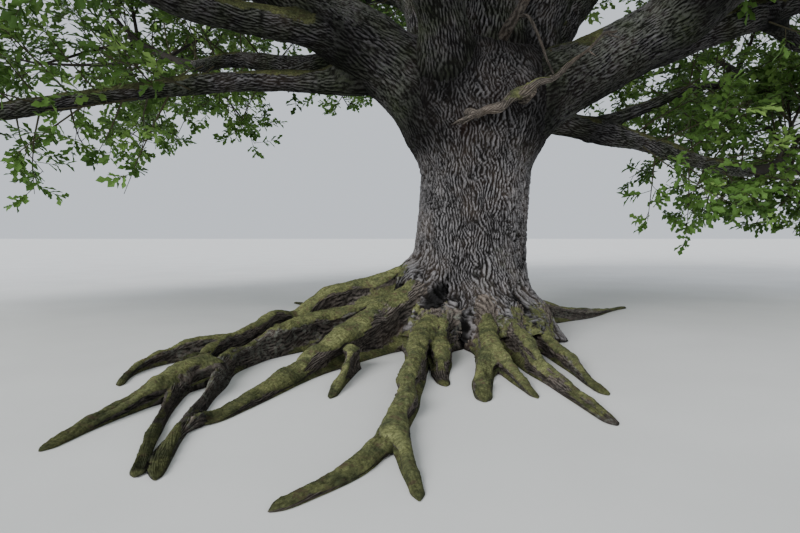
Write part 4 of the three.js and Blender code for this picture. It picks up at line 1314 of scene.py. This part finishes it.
# Settings that a user would change

def colour_setting(name, description, default):
    """A colour in the sidebar."""
    return bpy.props.FloatVectorProperty(name=name, description=description, default=default,
                                         subtype="COLOR", size=3, min=0, max=1)


def size_setting(name, description, default):
    """A length in the sidebar."""
    return bpy.props.FloatProperty(name=name, description=description, default=default, min=0,
                                   subtype="DISTANCE", unit="LENGTH")


class OakWood(bpy.types.PropertyGroup):
    """Sizes and colours of the bark, the moss and the bare wood."""

    ridge_spacing: size_setting("Ridge spacing", "Spacing of the ridges of bark", 0.047)
    ridge_length: size_setting("Ridge length", "Length of a ridge of bark", 0.125)
    trunk_relief: size_setting("Trunk relief", "Depth of the furrows on the trunk", 0.040)
    bough_relief: size_setting("Bough relief", "Depth of the furrows on a thick bough", 0.030)
    root_relief: size_setting("Root relief", "Depth of the furrows on a root", 0.018)
    # Nearly black: the bark's own dark furrows with painted shade in them
    furrow: colour_setting("Furrow", "Colour down in the furrows", (0.009, 0.008, 0.0075))
    ridge: colour_setting("Ridge", "Colour of the ridge tops", (0.157, 0.151, 0.154))
    root_ridge: colour_setting("Root bark", "Colour of a root's bark", (0.130, 0.112, 0.098))
    dead: colour_setting("Dead wood", "Colour of bare dead wood", (0.140, 0.121, 0.104))
    moss: colour_setting("Moss", "Colour of the moss", (0.130, 0.149, 0.071))


class OakCrown(bpy.types.PropertyGroup):
    """Sizes, numbers and colours of the twigs and leaves."""

    side_twigs: bpy.props.IntProperty(name="Side twigs", description="Side twigs on a main twig",
                                      default=10, min=1, max=40)
    side_length: size_setting("Side twig length", "Length of a side twig", 1.25)
    bough_twigs: bpy.props.FloatProperty(name="Bough twigs", default=4.0, min=0, max=20,
                                         description="Side twigs on each metre of a bough's end")
    shoots: bpy.props.IntProperty(name="Shoots", description="Leafy shoots on a side twig",
                                  default=6, min=1, max=20)
    shoot_length: size_setting("Shoot length", "Length of a leafy shoot", 0.42)
    leaves: bpy.props.IntProperty(name="Leaves", description="Leaves on a shoot", default=9,
                                  min=1, max=30)
    leaf_length: size_setting("Leaf length", "Length of a leaf blade", 0.19)
    bark: colour_setting("Twig bark", "Colour of the stems and main twigs", (0.044, 0.039, 0.034))
    shoot: colour_setting("Shoot bark", "Colour of the fine shoots", (0.066, 0.060, 0.036))
    green_0: colour_setting("Deep green", "Leaves in the shade", (0.050, 0.105, 0.022))
    green_1: colour_setting("Full green", "Most leaves", (0.075, 0.150, 0.032))
    green_2: colour_setting("Mid green", "Leaves in between", (0.100, 0.190, 0.042))
    green_3: colour_setting("Light green", "Leaves in the light", (0.145, 0.250, 0.060))
    green_4: colour_setting("Bright green", "Young leaves", (0.200, 0.320, 0.085))


class OakStage(bpy.types.PropertyGroup):
    """The floor, the light and the viewing point."""

    floor: colour_setting("Floor", "Colour of the floor", (0.70, 0.70, 0.69))
    sky: colour_setting("Sky", "Colour of the surrounding light", (0.86, 0.92, 1.0))
    sky_strength: bpy.props.FloatProperty(name="Sky strength", description="Strength of it",
                                          default=0.85, min=0)
    key_strength: bpy.props.FloatProperty(name="Key light", description="Strength of the key light",
                                          default=4.2, min=0)
    fill_strength: bpy.props.FloatProperty(name="Fill light", description="Strength of the low light",
                                           default=1.3, min=0)
    camera_place: bpy.props.FloatVectorProperty(name="Camera place", description="Viewing point",
                                                default=(-0.89, -8.2, 1.3), subtype="TRANSLATION",
                                                unit="LENGTH", size=3)
    camera_pitch: bpy.props.FloatProperty(name="Camera pitch", description="Downward tilt",
                                          default=-math.atan(28.5 / 600), subtype="ANGLE",
                                          unit="ROTATION")
    camera_lens: bpy.props.FloatProperty(name="Camera lens", description="Focal length in mm",
                                         default=27, min=5)


# Operators, one for each kind of piece

SCAR, SCAR_SPREAD = (-0.13, -0.98, 2.62), 0.035
SHOULDER = 2.95


class OAK_OT_trunk(bpy.types.Operator):
    """Barked trunk with its flutes, cleft and swelling"""

    bl_idname = "oak.trunk"
    bl_label = "Trunk"

    def execute(self, context):
        wood = context.scene.oak_wood
        grid = trunk_rings(TRUNK_RING_COLS)
        grid = lumps(grid, 0.7, 0.04, 11)
        grid, seam = blended("trunk", grid, 0.5)
        plates = int(round(FULL_TURN * TRUNK_MEAN * TRUNK_PAIRS / wood.ridge_spacing))
        rows, cols = TRUNK_ROWS, int(plates * TRUNK_COLS)
        fine = finer(grid, rows, cols)
        seam = finer_value(seam, rows, cols) * smooth((fine[..., 2] - 1) / 1)
        x, y, z = fine[..., 0], fine[..., 1], fine[..., 2]
        angle = np.degrees(np.arctan2(y, x)) % 360
        near_root = finer_value(root_gap(grid), rows, cols)
        # Moss climbs a little way up beside each root.
        hugging = np.exp(-(np.maximum(near_root, 0) / 0.10) ** 2) * smooth((0.75 - z) / 0.35)
        hugging = hugging * smooth(0.6 + 1.5 * layered(fine, 0.16, 19, 3))
        # Painted shade darkens the hollows, and no moss or lichen grows in them.
        dark = smooth(1.6 * hollows(np.radians(angle), z))
        moss = np.maximum(moss_on(fine, foot_cover(fine)), 0.7 * hugging) * (1 - dark)
        out, values = barked(fine, plates, wood.ridge_length, wood.trunk_relief, 31, moss, 0.35,
                             seam=seam)
        lichen = lichen_on(fine, -0.05, 77) * smooth((angle - 265) / 30) * smooth((3 - z) / 1.5)
        # The bark is stained brown under the dead limb's end, and in patches round the shoulder.
        scar = np.exp(-((x - SCAR[0]) ** 2 + (y - SCAR[1]) ** 2 + (z - SCAR[2]) ** 2) / SCAR_SPREAD)
        shoulder = np.exp(-((z - SHOULDER) / 0.6) ** 2) * smooth(layered(fine, 0.5, 73, 3) + 0.05)
        stain = np.clip(0.8 * scar + 0.28 * shoulder, 0, 0.8)
        # The shade value is painted shade and light from shade_on, with painted shade deep in the
        # hollows.
        values.update(moss=moss, lichen=lichen * (1 - dark), stain=stain,
                      shade=shade_on(fine, seam) * (1 - 0.93 * dark))
        bark = wood_material("trunk_bark", wood.furrow, wood.ridge, wood.moss)
        seat(skin_piece("trunk_bark_skin", [(out, values)], bark), "trunk")
        return {"FINISHED"}


class OAK_OT_roots(bpy.types.Operator):
    """Roots that run out over the ground under moss"""

    bl_idname = "oak.roots"
    bl_label = "Roots"

    def execute(self, context):
        wood = context.scene.oak_wood
        bark = wood_material("mossy_root_bark", wood.furrow, wood.root_ridge, wood.moss, 0.006)
        for name, parts in ROOT_PARTS.items():
            cover = MOSSY.get(name, ROOT_MOSS)
            skins = [self.root_skin(part, wood, cover) for part in parts]
            seat(skin_piece(name + "_skin", skins, bark), name)
        return {"FINISHED"}

    @staticmethod
    def root_skin(part, wood, cover):
        """The skin of one root or spur."""
        length, thick, salt = part["length"], part["thick"], part["seed"]
        rows = root_path(part)
        if np.hypot(*part["foot"]) > FROM_TRUNK:
            back = rows[0].copy()
            back[:2] -= BURIED * np.array([math.cos(back[2]), math.sin(back[2])])
            rows, length = np.vstack([back, rows]), length + BURIED
        count = max(14, int(length / ROOT_RING))
        grid = root_rings(rows, count, ROOT_COLS, part.get("slim", 0.80), part.get("end", 0.86))
        grid = grid[visible_rows(part["name"], grid):]
        cols = grid.shape[1]
        # Soft folds along the root, finer swellings on them, and bark on those
        run = np.linspace(0, length, len(grid))[:, None]
        around = np.arange(cols)[None, :] / cols * 5
        normals = facing(grid)
        push = 0.24 * thick * folds(around + 0.8 * run, run / 0.6 + 0 * around, 5, salt + 1)
        push = push + 0.20 * thick * layered(grid, 0.9 * thick + 0.05, salt + 2, 3) - 0.01
        grid = grid + normals * (push * smooth(grid[..., 2] / (0.5 * thick)))[..., None]
        grid, _ = blended(part["name"], above_ground(grid), part.get("web", 0.3))
        plates = max(5, int((thick * 2 + part["crest"]) / (wood.ridge_spacing * 1.5)))
        step, per = ROOT_MESH if part["foot"][1] < 0.2 else BACK_ROOT_MESH
        count = max(16, int(length / step))
        fine = above_ground(finer(above_ground(grid), count, plates * per))
        share = np.linspace(0, 1, count)[:, None]
        near_trunk = smooth(trunk_field(fine.reshape(-1, 3)).reshape(fine.shape[:2]) / 0.45)
        wanted = np.maximum(mix(*cover, share), 0.75 * smooth((share - 0.78) / 0.12))
        moss = moss_on(fine, mix(foot_cover(fine), wanted, near_trunk))
        relief = wood.root_relief * min(1, 0.25 + thick / 0.2)
        out, values = barked(fine, plates, wood.ridge_length * 1.5, relief, salt + 60, moss, 0.3,
                             keep_flat=True)
        # A root's bark is plainer than the trunk's. Painted shade darkens the roots to the left, their
        # flanks and undersides and the skin near the ground, and painted light brightens their tops.
        values["ridge"] = 0.30 + 0.52 * values["ridge"]
        lichen = lichen_on(fine, 0.95 * share * (1 - cover[1]) - 0.05, salt + 4)
        shade = mix(1.0, 0.85, smooth((-1.3 - fine[..., 0]) / 1.2))
        shade = shade * mix(0.60, 1.15, smooth((facing(fine)[..., 2] + 0.15) / 0.9))
        shade = shade * mix(0.55, 1, smooth(fine[..., 2] / 0.10))
        values.update(moss=moss, lichen=lichen, shade=shade)
        return out, values


class OAK_OT_boughs(bpy.types.Operator):
    """Long barked boughs that leave the fork in smooth webs"""

    bl_idname = "oak.boughs"
    bl_label = "Boughs"

    def execute(self, context):
        wood = context.scene.oak_wood
        bark = wood_material("bough_bark", wood.furrow, wood.ridge, wood.moss, algae=0.8)
        for s in BOUGHS:
            points, radii = PATHS[s["name"]]
            radii = slimmer(s, radii)
            skin = bark_skin(s["name"], points, radii, wood, s["name"] not in HIDDEN,
                             s["seed"] * 3, MOSSY.get(s["name"], BOUGH_MOSS))
            seat(skin_piece(s["name"] + "_skin", [skin], bark), s["name"])
        return {"FINISHED"}


class OAK_OT_dead_limb(bpy.types.Operator):
    """Bleached dead limb with a splintered end, across the front of the fork"""

    bl_idname = "oak.dead_limb"
    bl_label = "Dead limb"

    def execute(self, context):
        wood = context.scene.oak_wood
        bare = wood_material("bleached_wood", [c * 0.18 for c in wood.dead], wood.dead, wood.moss,
                             0.004)
        ends = np.array([DEAD["start"], DEAD["middle"], DEAD["end"]])
        thick = [DEAD["start_radius"], DEAD["middle_radius"], DEAD["end_radius"]]
        at = np.linspace(0, 1, 46)
        line = spline(ends, at)
        # The limb is crooked, swells at its knot and thins quickly beyond it.
        crook = np.stack([0 * at, 0.03 * np.sin(at * 21), 0.030 * np.sin(at * 15 + 1)
                          + 0.016 * np.sin(at * 37)], axis=1)
        taper = (0.80 * (1 - 0.52 * smooth((at - 0.42) / 0.4)) * (1 + 0.10 * np.sin(at * 29))
                 + 0.26 * np.exp(-((at - 0.42) / 0.05) ** 2))
        skins = [self.bare_skin(line + crook, spline(thick, at) * taper, 91, fade=0.70, mossy=0.6)]
        knot = np.array([DEAD["knot_heart"], DEAD["middle"]])
        at = np.linspace(0.25, 1, 16)
        radii = mix(DEAD["knot_radius"], DEAD["middle_radius"] * 1.15, at)
        skins.append(self.bare_skin(spline(knot, at), radii, 93))
        rng = np.random.default_rng(8)
        back = unit(ends[0] - ends[1])
        # Splinters at the broken end, and small snags along the limb
        for k in range(7):
            side = rng.normal(0, 1, 3)
            foot = ends[0] + unit(side) * 0.026 - back * 0.10
            tip = foot + back * rng.uniform(0.14, 0.26) + side * 0.02
            skins.append(self.spike(foot, tip, 0.022, 0.003, 7, 95 + k))
        for k, share in enumerate((0.36, 0.62, 0.8, 0.92)):
            foot = spline(line, [share])[0]
            tip = foot + unit(rng.normal(0, 1, 3) + [0, -0.4, 0.7]) * rng.uniform(0.12, 0.3)
            skins.append(self.spike(foot, tip, 0.016, 0.004, 8, 105 + k))
        seat(skin_piece("dead_limb_skin", skins, bare), "dead_limb")
        self.snags(wood)
        return {"FINISHED"}

    def spike(self, foot, tip, thick, thin, count, salt):
        """A short pointed piece of bare wood."""
        at = np.linspace(0, 1, count)
        return self.bare_skin(spline(np.array([foot, tip]), at), mix(thick, thin, at), salt, 10)

    def snags(self, wood):
        """A dark broken stub and a thin dead twig that hangs from it to the dead limb."""
        dark = wood_material("dark_dead_wood", [c * 0.14 for c in wood.dead],
                             [c * 0.55 for c in wood.dead], wood.moss, 0.004)
        at = np.linspace(0, 1, 9)
        stub = [(0.36, -0.20, 3.74), (0.45, -0.66, 3.90), (0.56, -0.88, 4.05), (0.64, -1.0, 4.24)]
        twig = [(0.50, -0.72, 3.96), (0.62, -0.98, 3.92), (0.74, -1.10, 3.60), (0.80, -1.16, 3.38),
                (0.90, -1.17, 3.16)]
        skins = [self.bare_skin(spline(stub, at), np.interp(at, [0, 0.4, 1], [0.10, 0.066, 0.050]),
                                131, 40),
                 self.bare_skin(spline(twig, at), mix(0.024, 0.012, at), 137, 16)]
        piece = skin_piece("broken_stub", skins, dark)
        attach(piece, "root")

    @staticmethod
    def bare_skin(line, radii, salt, cols=72, fade=1.0, mossy=0.0):
        """Bare wood with long cracks, darker towards its end."""
        at = np.linspace(0, 1, len(line) * 3)
        grid = tube_rings(spline(line, at), spline(radii, at), cols)
        grid = grid + facing(grid) * (0.10 * radii[0] * layered(grid, 0.12, salt, 3))[..., None]
        plates = max(3, cols // 12)
        out, values = barked(grid, plates, 0.16, min(0.010, radii[0] * 0.2), salt, None, 0.5)
        values["ridge"] = 0.25 + 0.75 * values["ridge"]
        share = np.linspace(0, 1, len(grid))[:, None]
        moss = moss_on(grid, 0.42) * smooth((share - 0.12) / 0.2)
        values.update(moss=np.maximum(moss, mossy * np.exp(-((share - 0.42) / 0.08) ** 2)),
                      lichen=0 * moss, shade=mix(1, fade, smooth((share - 0.45) / 0.35)) + 0 * moss)
        return out, values


class OAK_OT_twigs(bpy.types.Operator):
    """Stems, main twigs, side twigs and shoots of every mass"""

    bl_idname = "oak.twigs"
    bl_label = "Twigs"

    def execute(self, context):
        crown = context.scene.oak_crown
        barks = [plain_material("twig_bark", crown.bark, 0.85),
                 plain_material("shoot_bark", crown.shoot, 0.75)]
        for k, s in enumerate(BOUGHS):
            parts, _ = grow_mass(k, crown)
            start, points, faces, slots = 0, [], [], []
            for p, f, kind in parts:
                points.append(p)
                faces.append(f + start)
                slots.append(np.full(len(f), kind))
                start += len(p)
            piece = mesh_piece(s["mass"].replace("leaves", "twigs"), np.concatenate(points),
                               np.concatenate(faces), barks, np.concatenate(slots))
            seat(piece, s["mass"])
        return {"FINISHED"}


class OAK_OT_leaves(bpy.types.Operator):
    """Lobed leaves in sprays on every shoot"""

    bl_idname = "oak.leaves"
    bl_label = "Leaves"

    def execute(self, context):
        crown = context.scene.oak_crown
        greens = [plain_material("leaf_green_%d" % i, getattr(crown, "green_%d" % i), 0.55)
                  for i in range(TONES)]
        for k, s in enumerate(BOUGHS):
            _, (points, faces, tones) = grow_mass(k, crown)
            piece = mesh_piece(s["mass"] + "_sprays", points, faces, greens, tones)
            seat(piece, s["mass"])
        return {"FINISHED"}


# The camera's sensor in millimetres, and how far it sees in metres
SENSOR, FARTHEST = 36, 1000
# The floor reaches to the skyline, and lies this far below the ground so that no faces coincide.
FLOOR_CORNERS, FLOOR_RADIUS, FLOOR_GAP = 160, 1500, 0.004
# How wide each light seems, in degrees, and where it comes from
KEY_WIDTH, KEY_PLACE = 30, (-17, -24, 14)
FILL_WIDTH, FILL_PLACE = 60, (6, -16, 5)


class OAK_OT_stage(bpy.types.Operator):
    """Pale floor, soft light and the camera"""

    bl_idname = "oak.stage"
    bl_label = "Stage"

    def execute(self, context):
        stage = context.scene.oak_stage
        self.floor(stage)
        self.lights(stage)
        camera = bpy.data.cameras.new("camera")
        camera.sensor_width = SENSOR
        camera.lens = stage.camera_lens
        camera.clip_end = FARTHEST
        seen = bpy.data.objects.new("camera", camera)
        seen.location = stage.camera_place
        seen.rotation_euler = (math.pi / 2 + stage.camera_pitch, 0, 0)
        context.scene.collection.objects.link(seen)
        context.scene.camera = seen
        return {"FINISHED"}

    @staticmethod
    def floor(stage):
        """A wide pale floor with faint patches."""
        material, tree, surface = shader_base("floor_plaster", 0.85)
        place = node(tree, "ShaderNodeTexCoord").outputs["Object"]
        spots = node(tree, "ShaderNodeTexNoise", {"Vector": place, "Scale": 0.6, "Detail": 4.0})
        colour = ramp(tree, spots.outputs[0], [(0.3, rgba(stage.floor, 0.95)),
                                               (0.7, rgba(stage.floor, 1.03))])
        tree.links.new(colour, surface.inputs["Base Color"])
        a = np.arange(FLOOR_CORNERS) / FLOOR_CORNERS * FULL_TURN
        points = np.stack([FLOOR_RADIUS * np.cos(a), FLOOR_RADIUS * np.sin(a), 0 * a - FLOOR_GAP], 1)
        floor = mesh_piece("floor", points, np.arange(FLOOR_CORNERS)[None], [material],
                           smooth_faces=False)

    @staticmethod
    def lights(stage):
        """An even sky and two wide, soft lights."""
        world = bpy.data.worlds.new("soft_sky")
        world.use_nodes = True
        background = world.node_tree.nodes["Background"]
        background.inputs[0].default_value = rgba(stage.sky)
        background.inputs[1].default_value = stage.sky_strength
        bpy.context.scene.world = world
        for name, strength, angle, place in (("key", stage.key_strength, KEY_WIDTH, KEY_PLACE),
                                             ("fill", stage.fill_strength, FILL_WIDTH, FILL_PLACE)):
            light = bpy.data.lights.new(name, "SUN")
            light.energy = strength
            light.angle = math.radians(angle)
            lamp = bpy.data.objects.new(name, light)
            lamp.location = place
            lamp.rotation_euler = (-Vector(place)).to_track_quat("-Z", "Y").to_euler()
            bpy.context.scene.collection.objects.link(lamp)


class OAK_PT_panel(bpy.types.Panel):
    """Sidebar panel with a button for each kind of piece"""

    bl_idname = "OAK_PT_panel"
    bl_label = "Spreading oak"
    bl_space_type = "VIEW_3D"
    bl_region_type = "UI"
    bl_category = "Oak"

    def draw(self, context):
        layout = self.layout
        for operator in PIECES:
            layout.operator(operator.bl_idname)
        for title, group in (("Wood", context.scene.oak_wood), ("Crown", context.scene.oak_crown),
                             ("Stage", context.scene.oak_stage)):
            box = layout.box()
            box.label(text=title)
            for key in group.__annotations__:
                box.prop(group, key)


PIECES = (OAK_OT_stage, OAK_OT_trunk, OAK_OT_roots, OAK_OT_boughs, OAK_OT_dead_limb, OAK_OT_twigs,
          OAK_OT_leaves)
CLASSES = (OakWood, OakCrown, OakStage) + PIECES + (OAK_PT_panel,)


def register():
    """Adds the classes and their settings."""
    for cls in CLASSES:
        bpy.utils.register_class(cls)
    bpy.types.Scene.oak_wood = bpy.props.PointerProperty(type=OakWood)
    bpy.types.Scene.oak_crown = bpy.props.PointerProperty(type=OakCrown)
    bpy.types.Scene.oak_stage = bpy.props.PointerProperty(type=OakStage)


def unregister():
    """Takes them away again."""
    del bpy.types.Scene.oak_stage
    del bpy.types.Scene.oak_crown
    del bpy.types.Scene.oak_wood
    for cls in reversed(CLASSES):
        bpy.utils.unregister_class(cls)


def main():
    """Builds every piece."""
    register()
    bpy.ops.oak.stage()
    bpy.ops.oak.trunk()
    bpy.ops.oak.roots()
    bpy.ops.oak.boughs()
    bpy.ops.oak.dead_limb()
    bpy.ops.oak.twigs()
    bpy.ops.oak.leaves()


if __name__ == "__main__":
    main()
